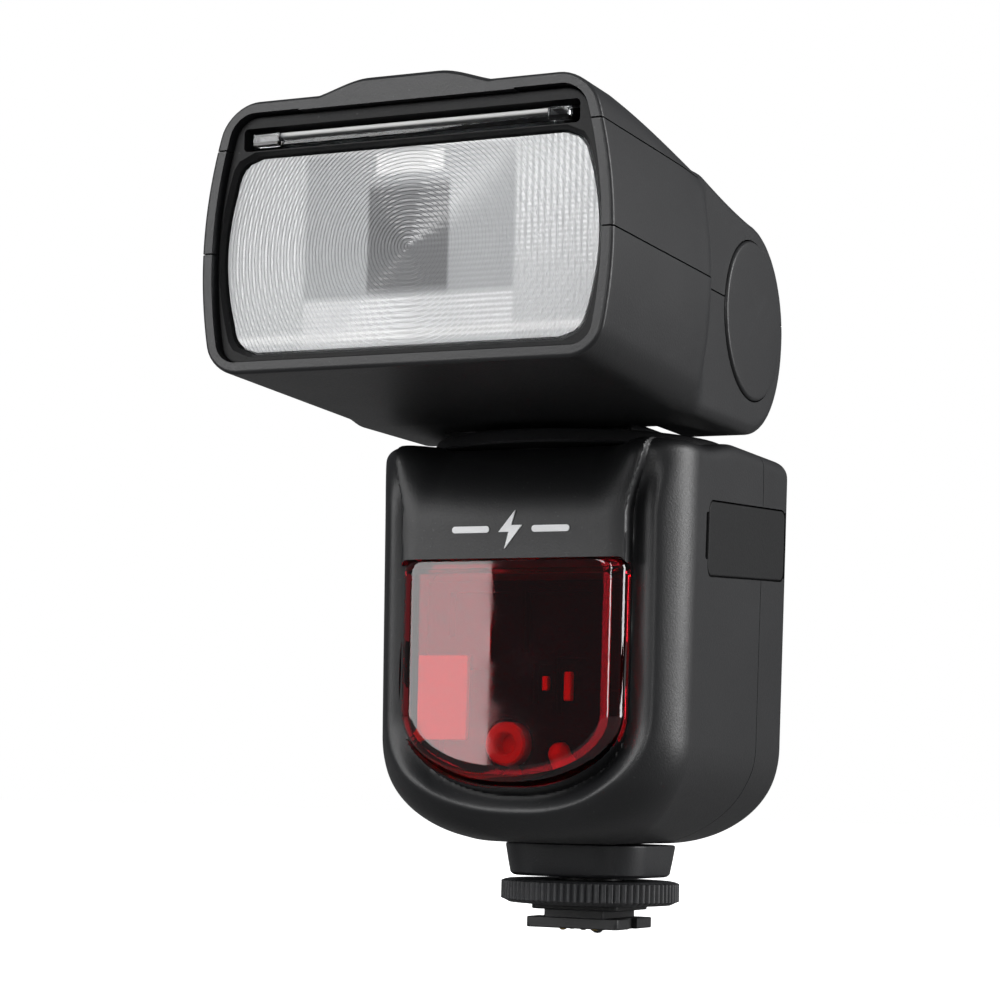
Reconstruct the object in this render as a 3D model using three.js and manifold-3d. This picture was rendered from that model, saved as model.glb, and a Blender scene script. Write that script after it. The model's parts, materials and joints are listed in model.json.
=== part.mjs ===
// Speedlight flash with a tilting and swivelling head, on a hot-shoe foot.
// Millimetres, +Z up. The lens faces -Y. The origin is the middle of the foot's underside.
import * as THREE from 'three';
import * as BufferGeometryUtils from 'three/addons/utils/BufferGeometryUtils.js';
import Module from 'manifold-3d';

const wasm = await Module();
wasm.setup();

// Clearances
const gap = 0.3;
const wall = 2.2;

// Body case
const body = { half: 30.4, front: -38.7, rear: 25.2, bottom: 16, deck: 87.6 };
const shoulder = { rise: 3.5, front: -22, rear: -6 };
const bodyTop = body.deck + shoulder.rise;
const bodyRadius = {
  planFront: 12, planRear: 4, foot: 19, shoulder: 3, chin: 12, heel: 13, brow: 14, back: 4,
};
const seamY = 8;
const redWindow = {
  half: 21.9, bottom: body.bottom + 9.9, top: body.deck - 21.3, corner: 10, thick: 1.5, ledge: 2,
};
const panel = { half: redWindow.half + gap, rise: 1.5, bottom: body.bottom + 4 };

// Focus-assist parts behind the red window
const holder = {
  half: redWindow.half - 3.3, front: body.front + 4.2, back: body.front + 8.7,
  bottom: redWindow.bottom + 1.4, top: redWindow.top - 3.3, pocket: 3.1,
};
const focusRing = { x: -2.4, z: redWindow.bottom + 6.5, outer: 4.4, inner: 1.8 };
const focusLamp = { x: 8, z: redWindow.bottom + 6, radius: 2.2 };

// Turntable
const neckY = -8;
const turntable = { radius: 28.6, taper: 0.6, top: bodyTop - 0.1, seat: 0.4 };
const hub = { radius: turntable.radius - 8.6, bore: 7, bottom: body.deck - 3.4 };

// Head case: headSize holds its half width, its height and its reach in front of the hinge.
const headSize = { half: 38, tall: 49.5, reach: 77 };
const barrel = { radius: 18.8, half: headSize.half - 17.3 };
const headRest = bodyTop + 0.4;
const hinge = { y: -9.7, z: headRest + 2.7 + barrel.radius };
const head = {
  half: headSize.half, front: hinge.y - headSize.reach, heel: headRest, bottom: headRest + 2.5,
  top: headRest + headSize.tall, rearHalf: headSize.half - 3.7, partZ: headRest + 23.5,
};
const earRadius = barrel.radius + 0.2;
const lip = 2;
const frameFace = { front: head.front + 1.5, back: head.front + 4.4 };
const lens = {
  half: head.half - 3.7, side: head.half - 7.5, bottom: head.bottom + 4, top: head.top - 9.5,
  thick: 2.2, flange: 1.2,
};
const slot = {
  half: head.half - 7, bottom: head.top - 7.9, top: head.top - 4.6, back: head.front + 45.7,
};
const cover = { back: slot.back - 1, half: head.half - 1.8 };
const tiltCover = { radius: barrel.radius - 3.95, proud: 0.7, sink: 1.5 };
const tiltShaft = 4;
const screwHead = { radius: 2.1, shaft: 1.1, height: 2, tip: head.partZ - 12 };

// Zoom carriage inside the head
const carriage = {
  front: frameFace.back + 4.3, back: frameFace.back + 26.3, half: lens.side - 6.5,
  low: lens.bottom + 2.4, high: slot.bottom - 5.1,
};
const tube = { radius: 2.5, back: 6 };
const guide = {
  places: [-12, 17], z: head.bottom + 4.6, radius: 1, front: frameFace.back + 3.3, back: hinge.y - 23.3,
};
const leadScrew = {
  x: -19.5, z: head.bottom + 4.9, radius: 1.3, front: frameFace.back + 12.6, back: hinge.y - 23.8,
};
const motor = { radius: 2.4, length: 9.6 };

// Shoe
const foot = { width: 18.6, length: 18, thick: 2, bossWidth: 12, bossTop: 4.2 };
const clampPlate = { half: foot.width / 2 - 0.5, bottom: 3.4, top: 4.6 };
const lockRing = { radius: 17, bottom: 4.9, top: 8.9, teeth: 40, toothDepth: 0.5, bore: 6.6, rimDrop: 0.5 };
const collar = { bottom: 9.6, lowHalf: 13.4, topHalf: 14.2, corner: 7.5, layers: 5 };
const post = 6;
const lockPin = { y: 4, radius: 1.1, reach: 1.3 };
const contactWell = { half: 5.4, front: -7.2, back: 1.4, depth: 3 };
const contact = { radius: 0.8, well: 1.1, reach: 0.5 };

// Rear controls
const screen = { half: 23, bottom: body.deck - 29.6, top: body.deck - 5.6 };
const keyRow = { z: screen.bottom - 4.4, pitch: 11.4, width: 8, height: 3.6 };
const dial = { z: screen.bottom - 17, outer: 10.4, inner: 5.6, proud: 1.6 };
const sideKey = { x: 20.5, width: 8.5, height: 4.2, upper: dial.z + 5, lower: dial.z - 1.5 };
const buttonProud = 0.7;
const powerSwitch = { x: -19.7, z: dial.z - 7.5, half: 1.75, tall: 1.3, travel: 3, proud: 0.8 };

// Side covers, sockets and the pieces behind them
const flap = {
  front: -21, rear: 21, bottom: body.deck - 22.9, top: body.deck - 9.3, lift: 2.5, thick: 1.3,
};
const door = { front: -26, rear: 5, bottom: body.bottom + 21.3, top: body.deck - 6.6, thick: 2 };
const sockets = { z: body.deck - 15.4, back: 20, front: body.half - flap.thick - 2 * gap };
const jack = { y: -12, radius: 3.6, bore: 1.6 };
const usb = { y: 1.5, half: 4.4, tall: 2.3, edge: 0.8 };
const battery = { inner: 2, low: door.bottom + 1.7, high: door.top - 2 };
const capacitor = { x: body.half - 15.9, y: -14, radius: 9, low: body.bottom + 8, high: body.bottom + 46 };
const board = { front: body.rear - 7.6, back: body.rear - 6, half: body.half - 6.4 };

const round = 24;

function solid(geometry) {
  const bare = geometry.clone();
  bare.deleteAttribute('normal');
  bare.deleteAttribute('uv');
  const welded = BufferGeometryUtils.mergeVertices(bare, 1e-4);
  const corners = [];
  const index = welded.index.array;
  for (let i = 0; i < index.length; i += 3) {
    const [a, b, c] = [index[i], index[i + 1], index[i + 2]];
    if (a !== b && b !== c && a !== c) corners.push(a, b, c);
  }
  const vertProperties = new Float32Array(welded.attributes.position.array);
  const mesh = new wasm.Mesh({ numProp: 3, vertProperties, triVerts: new Uint32Array(corners) });
  return new wasm.Manifold(mesh);
}

function geometryOf(shape) {
  const mesh = shape.getMesh();
  const geometry = new THREE.BufferGeometry();
  const count = mesh.vertProperties.length / mesh.numProp;
  const positions = new Float32Array(count * 3);
  for (let i = 0; i < count; i += 1) {
    for (let axis = 0; axis < 3; axis += 1) {
      positions[3 * i + axis] = mesh.vertProperties[mesh.numProp * i + axis];
    }
  }
  geometry.setAttribute('position', new THREE.BufferAttribute(positions, 3));
  geometry.setIndex(new THREE.BufferAttribute(new Uint32Array(mesh.triVerts), 1));
  return geometry;
}

// An outline whose corners [u, v, radius] are rounded by arcs.
function outline(corners, steps = 6) {
  const points = [];
  corners.forEach(([u, v, radius = 0], i) => {
    const here = new THREE.Vector2(u, v);
    const [pu, pv] = corners[(i + corners.length - 1) % corners.length];
    const [nu, nv] = corners[(i + 1) % corners.length];
    const toPrevious = new THREE.Vector2(pu, pv).sub(here).normalize();
    const toNext = new THREE.Vector2(nu, nv).sub(here).normalize();
    if (radius <= 0) {
      points.push(here);
      return;
    }
    const half = Math.acos(THREE.MathUtils.clamp(toPrevious.dot(toNext), -1, 1)) / 2;
    const reach = radius / Math.tan(half);
    const inward = toPrevious.clone().add(toNext).normalize();
    const middle = inward.multiplyScalar(radius / Math.sin(half)).add(here);
    const start = toPrevious.clone().multiplyScalar(reach).add(here).sub(middle);
    const end = toNext.clone().multiplyScalar(reach).add(here).sub(middle);
    const from = Math.atan2(start.y, start.x);
    let turn = Math.atan2(end.y, end.x) - from;
    if (turn > Math.PI) turn -= 2 * Math.PI;
    if (turn < -Math.PI) turn += 2 * Math.PI;
    for (let k = 0; k <= steps; k += 1) {
      const angle = from + (turn * k) / steps;
      points.push(new THREE.Vector2(Math.cos(angle), Math.sin(angle)).multiplyScalar(radius).add(middle));
    }
  });
  return new THREE.Shape(points);
}

function extrusion(shape, depth) {
  return new THREE.ExtrudeGeometry(shape, { depth, bevelEnabled: false, curveSegments: round });
}

// Extrusions of a plan (X, Y), a front view (X, Z) or a side view (Y, Z).
function planSolid(shape, low, high) {
  return solid(extrusion(shape, high - low).translate(0, 0, low));
}

function frontSolid(shape, low, high) {
  return solid(extrusion(shape, high - low).rotateX(Math.PI / 2).translate(0, high, 0));
}

function sideSolid(shape, low, high) {
  const turn = new THREE.Matrix4().set(0, 0, 1, low, 1, 0, 0, 0, 0, 1, 0, 0, 0, 0, 0, 1);
  return solid(extrusion(shape, high - low).applyMatrix4(turn));
}

function block(x0, x1, y0, y1, z0, z1) {
  const geometry = new THREE.BoxGeometry(x1 - x0, y1 - y0, z1 - z0);
  return solid(geometry.translate((x0 + x1) / 2, (y0 + y1) / 2, (z0 + z1) / 2));
}

function rodZ(x, y, radius, low, high, topRadius = radius, segments = round) {
  const geometry = new THREE.CylinderGeometry(topRadius, radius, high - low, segments);
  return solid(geometry.rotateX(Math.PI / 2).translate(x, y, (low + high) / 2));
}

function rodY(x, z, radius, low, high, segments = round) {
  const geometry = new THREE.CylinderGeometry(radius, radius, high - low, segments);
  return solid(geometry.translate(x, (low + high) / 2, z));
}

function rodX(y, z, radius, low, high, segments = round) {
  const geometry = new THREE.CylinderGeometry(radius, radius, high - low, segments);
  return solid(geometry.rotateZ(Math.PI / 2).translate((low + high) / 2, y, z));
}

function rectangle(u0, u1, v0, v1, radius, steps = 5) {
  return outline([[u0, v0, radius], [u1, v0, radius], [u1, v1, radius], [u0, v1, radius]], steps);
}

function inset(radius, by) {
  return Math.max(radius - by, 0.6);
}

// Body case: plan, front and side outlines cut from one another, each moved in by the inset.
function bodySide(by, front) {
  const r = bodyRadius;
  return outline([
    [front + by, body.bottom + by, inset(r.chin, by)],
    [body.rear - by, body.bottom + by, inset(r.heel, by)],
    [body.rear - by, bodyTop - by, inset(r.back, by)],
    [shoulder.rear, bodyTop - by],
    [shoulder.front, body.deck - by],
    [front + by, body.deck - by, inset(r.brow, by)],
  ]);
}

function bodyForm(by) {
  const r = bodyRadius;
  const half = body.half - by;
  const plan = outline([
    [-half, body.front + by, inset(r.planFront, by)],
    [half, body.front + by, inset(r.planFront, by)],
    [half, body.rear - by, inset(r.planRear, by)],
    [-half, body.rear - by, inset(r.planRear, by)],
  ]);
  const face = outline([
    [-half, body.bottom + by, inset(r.foot, by)],
    [half, body.bottom + by, inset(r.foot, by)],
    [half, bodyTop - by, inset(r.shoulder, by)],
    [-half, bodyTop - by, inset(r.shoulder, by)],
  ]);
  return planSolid(plan, body.bottom, bodyTop)
    .intersect(frontSolid(face, body.front, body.rear))
    .intersect(sideSolid(bodySide(by, body.front), -body.half, body.half));
}

function panelForm() {
  const front = body.front - panel.rise;
  const side = sideSolid(bodySide(0, front), -panel.half, panel.half);
  const face = rectangle(-panel.half, panel.half, panel.bottom, bodyTop, 8);
  return side.intersect(frontSolid(face, front, body.front + bodyRadius.brow));
}

function windowOutline(margin) {
  const half = redWindow.half + margin;
  const corner = redWindow.corner + margin;
  return outline([
    [-half, redWindow.bottom - margin, corner],
    [half, redWindow.bottom - margin, corner],
    [half, redWindow.top + margin, 1.5],
    [-half, redWindow.top + margin, 1.5],
  ]);
}

function screenOutline(margin) {
  const half = screen.half + margin;
  return rectangle(-half, half, screen.bottom - margin, screen.top + margin, 1.2);
}

function rearOpenings(shell) {
  const out = body.rear + 1;
  const inner = body.rear - wall - 1;
  const slide = powerSwitch;
  let cut = frontSolid(screenOutline(gap), body.rear - 1, out);
  cut = cut.add(frontSolid(screenOutline(-2), inner, out));
  for (const key of allKeys()) cut = cut.add(keyForm(key, gap, inner, out));
  cut = cut.add(rodY(0, dial.z, dial.outer + gap, body.rear - 1.2, out, 40));
  cut = cut.add(rodY(0, dial.z, dial.inner - gap, inner, out));
  cut = cut.add(block(slide.x - slide.half - gap, slide.x + slide.half + slide.travel + gap, inner, out,
    slide.z - slide.tall - gap, slide.z + slide.tall + gap));
  return shell.subtract(cut);
}

function flapOutline(margin) {
  const { front, rear, bottom, top, lift } = flap;
  return outline([
    [front - margin, bottom - margin, 1.5],
    [rear + margin, bottom + lift - margin, 1.5],
    [rear + margin, top + lift + margin, 1.5],
    [front - margin, top + margin, 1.5],
  ], 5);
}

function doorOutline(margin) {
  return rectangle(door.front - margin, door.rear + margin, door.bottom - margin, door.top + margin, 1.3);
}

function usbOutline(margin) {
  const half = usb.half + margin;
  const tall = usb.tall + margin;
  return rectangle(usb.y - half, usb.y + half, sockets.z - tall, sockets.z + tall, 0.9);
}

function sideOpenings(shell) {
  const outside = body.half + 1;
  const seat = body.half - flap.thick - gap;
  const inner = body.half - wall - 1;
  const pocket = sideSolid(flapOutline(gap), seat, outside);
  const notch = block(seat, outside, flap.front - 1.6, flap.front, flap.bottom + 3, flap.top - 2);
  const doorHole = sideSolid(doorOutline(gap), -outside, -body.half + wall + 0.8);
  const jackHole = rodX(jack.y, sockets.z, jack.radius + gap, inner, outside);
  const usbHole = sideSolid(usbOutline(gap), inner, outside);
  return shell.subtract(pocket).subtract(notch).subtract(doorHole).subtract(jackHole).subtract(usbHole);
}

function caseShell() {
  const underDeck = block(-body.half, body.half, body.front, body.rear, 0, body.deck - wall);
  const proud = body.front - panel.rise - 1;
  const above = bodyTop + 1;
  let shell = bodyForm(0).add(panelForm()).subtract(bodyForm(wall).intersect(underDeck));
  shell = shell.subtract(frontSolid(windowOutline(gap), proud, body.front));
  shell = shell.subtract(frontSolid(windowOutline(-redWindow.ledge), proud, body.front + 3));
  shell = shell.subtract(rodZ(0, neckY, turntable.radius + turntable.seat, body.deck, above, undefined, 64));
  shell = shell.subtract(rodZ(0, neckY, hub.radius + gap, hub.bottom - 0.6, above, undefined, 48));
  shell = shell.subtract(rodZ(0, 0, post + gap, body.bottom - 1, body.bottom + 4));
  return sideOpenings(rearOpenings(shell));
}

// Rear push buttons
function allKeys() {
  const { upper, lower, width, height } = sideKey;
  const keys = [];
  for (let i = 0; i < 4; i += 1) {
    const x = (i - 1.5) * keyRow.pitch;
    keys.push({ name: `soft_key_${i + 1}`, x, z: keyRow.z, w: keyRow.width, h: keyRow.height });
  }
  const rows = [
    ['mode_key', -1, upper], ['menu_key', -1, lower], ['sync_key', 1, upper], ['test_button', 1, lower],
  ];
  for (const [name, side, z] of rows) keys.push({ name, x: side * sideKey.x, z, w: width, h: height });
  return keys;
}

function keyForm(key, margin, low, high) {
  const u = key.w / 2 + margin;
  const v = key.h / 2 + margin;
  return frontSolid(rectangle(key.x - u, key.x + u, key.z - v, key.z + v, v - 0.3, 4), low, high);
}

function buildKey(key) {
  const cap = keyForm(key, 0, body.rear - wall - 0.9, body.rear + buttonProud);
  return cap.add(keyForm(key, 0.7, body.rear - wall - 1.7, body.rear - wall - 0.6));
}

// Head case: front outline with bowed sides, side profile with round ears, plan with narrowed ears.
function headFront(by) {
  const w = head.half - by;
  const t = head.top - by;
  const b = head.heel + by;
  const mid = head.heel + 22.5;
  const reach = headSize.tall * 0.525;
  const side = [];
  for (let i = 0; i <= 8; i += 1) {
    const z = THREE.MathUtils.lerp(b + 2, t - 3.5, i / 8);
    const bow = ((z - mid) / reach) ** 2;
    side.push([w - 4.2 * bow, z]);
  }
  const right = [[w - 5.4, b], ...side, [w - 6.6, t - 1], [w - 9.5, t]];
  const left = right.map(([x, z]) => [-x, z]).reverse();
  return outline([...right, ...left]);
}

function headSide(by, front) {
  const points = [];
  for (let i = 0; i <= 16; i += 1) {
    const angle = -Math.PI / 2 + (Math.PI * i) / 16;
    const tall = angle < 0 ? hinge.z - head.heel - by : earRadius - by;
    points.push([hinge.y + (earRadius - by) * Math.cos(angle), hinge.z + tall * Math.sin(angle)]);
  }
  const top = head.top - by;
  points.push([hinge.y - 13, hinge.z + earRadius - by + 1.6]);
  for (const [reach, drop] of [[28.3, 4.4], [42.3, 1.7], [56.3, 0.5], [66.3, 0]]) {
    points.push([hinge.y - reach, top - drop]);
  }
  points.push([front, top], [front, head.bottom + by], [hinge.y - 26.3, head.heel + by]);
  return outline(points);
}

function headPlan(by) {
  const front = head.half - by;
  const rear = head.rearHalf - by;
  const bend = [
    [front, head.front - 1], [front, hinge.y - 32.3], [front - 1.2, hinge.y - 28.8],
    [rear, hinge.y - 25.8], [rear, hinge.y + earRadius],
  ];
  return outline([...bend, ...bend.map(([x, y]) => [-x, y]).reverse()]);
}

// The head's form moved in by the inset; an inset form runs on past the front, to open the face.
function headForm(by) {
  const front = by > 0 ? head.front - 1 : head.front;
  return frontSolid(headFront(by), front, hinge.y + earRadius)
    .intersect(sideSolid(headSide(by, front), -head.half, head.half))
    .intersect(planSolid(headPlan(by), head.heel, head.top));
}

function faceRoom() {
  const zone = block(-head.half, head.half, head.front - 2, lensBack() + gap, head.heel, head.top);
  return headForm(lip).intersect(zone);
}

function barrelCut(margin) {
  const half = barrel.half + margin;
  const throat = barrel.radius + margin;
  const behind = block(-half, half, hinge.y, hinge.y + 30, head.heel - 1, head.top);
  const below = block(-half, half, hinge.y - barrel.radius + 3.3 - margin, hinge.y + 30,
    head.heel - 1, hinge.z - barrel.radius + 6.3 + margin);
  return rodX(hinge.y, hinge.z, throat, -half, half, 48).add(behind).add(below);
}

function lensOutline(margin) {
  const side = lens.side + margin;
  const bow = lens.half - lens.side;
  const points = [];
  const low = lens.bottom - margin;
  const high = lens.top + margin;
  for (let i = 0; i <= 6; i += 1) {
    const t = i / 6;
    const u = side + bow * Math.sin(Math.PI * (0.08 + 0.84 * t));
    points.push([u, THREE.MathUtils.lerp(low + 1.6, high - 1.6, t)]);
  }
  const right = [[side - 1.4, low], ...points, [side - 1.4, high]];
  return outline([...right, ...right.map(([x, z]) => [-x, z]).reverse()]);
}

function headScrewPlaces() {
  const x = head.half - 8.8;
  return [-x, x].flatMap((place) => [[place, head.front + 12.7], [place, cover.back - 4]]);
}

function screwSeat() {
  return slot.bottom - gap - screwHead.height - gap;
}

function headShell() {
  const slotRoom = block(-cover.half - 1.4, cover.half + 1.4, head.front, cover.back,
    slot.bottom - gap, head.top + 4);
  let room = headForm(wall).subtract(barrelCut(wall + gap));
  room = room.subtract(block(-head.half, head.half, head.front, cover.back + wall,
    slot.bottom - gap - 0.8, head.top));
  let shell = headForm(0).subtract(barrelCut(gap + 0.2)).subtract(room);
  shell = shell.subtract(faceRoom()).subtract(slotRoom);
  for (const [x, y] of headScrewPlaces()) {
    shell = shell.add(rodZ(x, y, 3, head.heel, slot.bottom - gap).intersect(headForm(0)));
    shell = shell.subtract(rodZ(x, y, screwHead.shaft + 0.15, screwHead.tip - 1, slot.bottom));
    shell = shell.subtract(rodZ(x, y, screwHead.radius + gap, screwSeat(), slot.bottom));
  }
  for (const side of [-1, 1]) {
    const [a, b] = [side * (head.rearHalf - tiltCover.sink), side * (head.rearHalf + 2)];
    const dish = rodX(hinge.y, hinge.z, tiltCover.radius + gap, Math.min(a, b), Math.max(a, b), 48);
    shell = shell.subtract(dish);
  }
  return shell.subtract(rodX(hinge.y, hinge.z, tiltShaft + gap, -head.half, head.half));
}

function lensBack() {
  return frameFace.back + gap + lens.flange;
}

function buildTopCover() {
  const edge = cover.half + 1.1;
  const zone = block(-edge, edge, head.front, cover.back - gap, slot.bottom, head.top + 4);
  const slotRoom = block(-slot.half, slot.half, head.front - 1, slot.back - 1 - gap * 2,
    slot.bottom - 1, slot.top);
  const bump = outline([[-15, head.top - 3], [15, head.top - 3], [13, head.top + 0.2],
    [7, head.top + 2.4, 3], [-6, head.top + 2.4, 3], [-13, head.top + 0.2]]);
  const ridge = frontSolid(bump, head.front, head.front + 12);
  return headForm(0).intersect(zone).add(ridge).subtract(slotRoom).subtract(faceRoom());
}

function buildFrontFrame() {
  const { front, back } = frameFace;
  return headForm(lip + gap).intersect(block(-head.half, head.half, front, back, 0, head.top))
    .subtract(frontSolid(lensOutline(gap), front - 1, back + 1))
    .subtract(block(-slot.half, slot.half, front - 1, back + 1, slot.bottom - 0.2, slot.top));
}

function buildLens() {
  const plate = frontSolid(lensOutline(0), frameFace.back - lens.thick + 0.6, frameFace.back + gap + 0.1);
  const flange = frontSolid(lensOutline(0.9), frameFace.back + gap, lensBack());
  return plate.add(flange);
}

function buildTiltCover(side) {
  const inner = head.rearHalf - tiltCover.sink + gap;
  const outer = head.rearHalf + tiltCover.proud;
  const low = side > 0 ? inner : -outer;
  return rodX(hinge.y, hinge.z, tiltCover.radius, low, low + outer - inner, 48);
}

function buildScrew(x, y) {
  const top = slot.bottom - gap - 0.1;
  const cap = rodZ(x, y, screwHead.radius, top - screwHead.height + 0.2, top, undefined, 16);
  const shaft = rodZ(x, y, screwHead.shaft, screwHead.tip, top - 1, undefined, 12);
  const driver = block(x - 1.4, x + 1.4, y - 0.3, y + 0.3, top - 0.7, top + 1);
  return cap.add(shaft).subtract(driver);
}

// Zoom carriage inside the head
function carriageMiddle() {
  return (carriage.low + carriage.high) / 2;
}

function buildReflector() {
  const middle = carriageMiddle();
  const { front, back, low, high, half } = carriage;
  const outer = outline([[front, low + 1.5], [back, middle - 4, 4], [back, middle + 4, 4], [front, high]]);
  const inner = outline([[front - 1, low + 2.6], [back - 1.2, middle - 3.2, 3],
    [back - 1.2, middle + 3.2, 3], [front - 1, high - 1.1]]);
  return sideSolid(outer, -half, half)
    .subtract(sideSolid(inner, -half + 1.2, half - 1.2))
    .subtract(rodX(back - tube.back, middle, tube.radius + 0.1 + gap, -half - 1, half + 1));
}

function buildFlashTube() {
  const half = carriage.half + 1.2;
  return rodX(carriage.back - tube.back, carriageMiddle(), tube.radius, -half, half, 20);
}

function buildCarriage() {
  const { back, low, high } = carriage;
  const half = carriage.half - 1;
  const floor = head.bottom + 2.9;
  const shelf = block(-half, half, back - 6, back + 3, floor, low + 1);
  const post = block(-half, half, back + gap, back + 2.6, floor, high - 2);
  let frame = shelf.add(post);
  frame = frame.subtract(sideSolid(rectangle(back - 7, back + gap - 0.01, low - 0.4, high + 2, 0), -30, 30));
  for (const x of guide.places) {
    frame = frame.subtract(rodY(x, guide.z, guide.radius + gap, back - 8, back + 6, 16));
  }
  return frame.subtract(rodY(leadScrew.x, leadScrew.z, leadScrew.radius + gap, back - 8, back + 6, 16));
}

// Neck
function buildTurntable() {
  const { radius, taper, top } = turntable;
  const support = hinge.z - barrel.radius - 0.6;
  const disc = rodZ(0, neckY, radius, body.deck + 0.4, top, radius - taper, 64);
  const sleeve = rodZ(0, neckY, hub.radius, hub.bottom, top, undefined, 48);
  const lift = block(-15, 15, hinge.y - 11, hinge.y + 11, top - 1, support);
  return disc.add(sleeve).add(lift).subtract(rodZ(0, neckY, hub.bore, hub.bottom - 1, support + 1));
}

function neckHalf(side) {
  const { radius, half } = barrel;
  const shell = rodX(hinge.y, hinge.z, radius, -half, half, 48)
    .subtract(rodX(hinge.y, hinge.z, radius - 2.4, -half + 2.4, half - 2.4, 40))
    .subtract(rodX(hinge.y, hinge.z, tiltShaft + gap, -half - 1, half + 1))
    .subtract(rodZ(0, neckY, hub.bore, hinge.z - radius - 1.2, hinge.z - radius / 2));
  const near = hinge.y + side * gap / 2;
  const far = hinge.y + side * 30;
  const tall = 2 * radius;
  const [low, high] = [hinge.z - tall, hinge.z + tall];
  return shell.intersect(block(-half, half, Math.min(near, far), Math.max(near, far), low, high));
}

function buildDetentPlate() {
  const radius = barrel.radius - 6.8;
  const low = -barrel.half + 5.7;
  let plate = rodX(hinge.y, hinge.z, radius, low, low + 1.6, 40);
  for (let i = 0; i < 12; i += 1) {
    const angle = (i / 12) * 2 * Math.PI;
    const [y, z] = [(radius + 0.3) * Math.cos(angle), (radius + 0.3) * Math.sin(angle)];
    plate = plate.subtract(rodX(hinge.y + y, hinge.z + z, 1, low - 1, low + 3, 10));
  }
  return plate.subtract(rodX(hinge.y, hinge.z, tiltShaft + gap, low - 1, low + 3));
}

function buildRetainingRing() {
  const top = hub.bottom - gap;
  return rodZ(0, neckY, hub.radius + 1.8, top - 1.7, top, undefined, 48)
    .subtract(rodZ(0, neckY, hub.radius - 6, top - 4, top + 2));
}

// Shoe
function buildCollar() {
  const { bottom, lowHalf, topHalf, corner, layers } = collar;
  const size = (half) => rectangle(-half, half, -half, half, corner);
  let shape = planSolid(size(lowHalf - 0.5), bottom, bottom + 0.6);
  for (let i = 0; i < layers; i += 1) {
    const low = THREE.MathUtils.lerp(bottom + 0.5, body.bottom - gap, i / layers);
    const high = THREE.MathUtils.lerp(bottom + 0.5, body.bottom - gap, (i + 1) / layers);
    const half = THREE.MathUtils.lerp(lowHalf, topHalf, (i + 0.5) / layers);
    shape = shape.add(planSolid(size(half), low, high + (i < layers - 1 ? 0.05 : 0)));
  }
  return shape.subtract(rodZ(0, 0, post + gap, 0, body.bottom + 4));
}

function buildFoot() {
  const w = foot.width / 2;
  const l = foot.length / 2;
  const well = contactWell;
  const boss = foot.bossWidth / 2;
  let shape = planSolid(outline([[-w, -l, 1.2], [w, -l, 1.2], [w, l, 0.8], [-w, l, 0.8]]), 0, foot.thick);
  shape = shape.add(block(-boss, boss, -l + 1, l - 1, foot.thick - 0.5, foot.bossTop));
  shape = shape.add(rodZ(0, 0, post, foot.bossTop - 1, body.bottom + 6));
  shape = shape.subtract(block(-well.half, well.half, well.front, well.back, -1, well.depth));
  for (const side of [-1, 1]) {
    const [a, b] = [side * w - side, side * w + side];
    shape = shape.subtract(block(Math.min(a, b), Math.max(a, b), -3, 1, -1, foot.thick + 1));
  }
  return shape.subtract(rodZ(0, lockPin.y, lockPin.radius + gap, -1, body.bottom + 4, undefined, 16));
}

function contactPlaces() {
  const middle = (contactWell.front + contactWell.back) / 2;
  const corners = [[-3.2, 2.1], [3.2, 2.1], [-3.2, -2.3], [3.2, -2.3]];
  return [[0, middle], ...corners.map(([x, y]) => [x, middle + y])];
}

function contactBed(margin, low, high) {
  const { half, front, back } = contactWell;
  return block(-half + margin, half - margin, front + margin, back - margin, low, high);
}

function buildContactBlock() {
  let shape = contactBed(gap, 0, 1.4);
  for (const [x, y] of contactPlaces()) {
    shape = shape.subtract(rodZ(x, y, contact.well, -1, 3, undefined, 14));
  }
  return shape;
}

function buildContacts() {
  let shape = contactBed(0.8, 1.8, 2.6);
  for (const [x, y] of contactPlaces()) {
    shape = shape.add(rodZ(x, y, contact.radius, -contact.reach, 2.2, undefined, 14));
  }
  return shape;
}

function buildLockRing() {
  const { radius, bottom, top, teeth, toothDepth, bore, rimDrop } = lockRing;
  const rim = [];
  for (let i = 0; i < teeth * 2; i += 1) {
    const angle = (i / (teeth * 2)) * 2 * Math.PI;
    const r = i % 2 ? radius : radius - toothDepth;
    rim.push([r * Math.cos(angle), r * Math.sin(angle)]);
  }
  const step = radius - 3.8;
  const corners = [
    [0, bottom], [step, bottom], [step + 0.6, bottom - rimDrop], [radius - 0.6, bottom + 0.7],
    [radius + 0.2, bottom + 1.3], [radius + 0.2, top - 0.8], [radius - 1, top], [0, top],
  ];
  const profile = corners.map(([r, z]) => new THREE.Vector2(r, z));
  const envelope = solid(new THREE.LatheGeometry(profile, 48).rotateX(Math.PI / 2));
  return envelope.intersect(planSolid(outline(rim), bottom - rimDrop, top))
    .subtract(rodZ(0, 0, bore, bottom - 1, top + 1));
}

function buildClampPlate() {
  const { half, bottom, top } = clampPlate;
  const across = foot.bossWidth / 2 + gap;
  const along = foot.length / 2 - 1 + gap;
  const boss = block(-across, across, -along, along, bottom - 2, top + 2);
  return planSolid(rectangle(-half, half, -foot.length / 2 + 0.2, foot.length / 2 - 0.2, 2), bottom, top)
    .subtract(boss);
}

function buildLockPin() {
  return rodZ(0, lockPin.y, lockPin.radius, -lockPin.reach, body.bottom + 1, undefined, 16);
}

// Side covers and power switch
function buildFlap() {
  return sideSolid(flapOutline(0), body.half - flap.thick, body.half + 0.15);
}

function buildDoor() {
  return sideSolid(doorOutline(0), -body.half, -body.half + door.thick);
}

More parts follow.
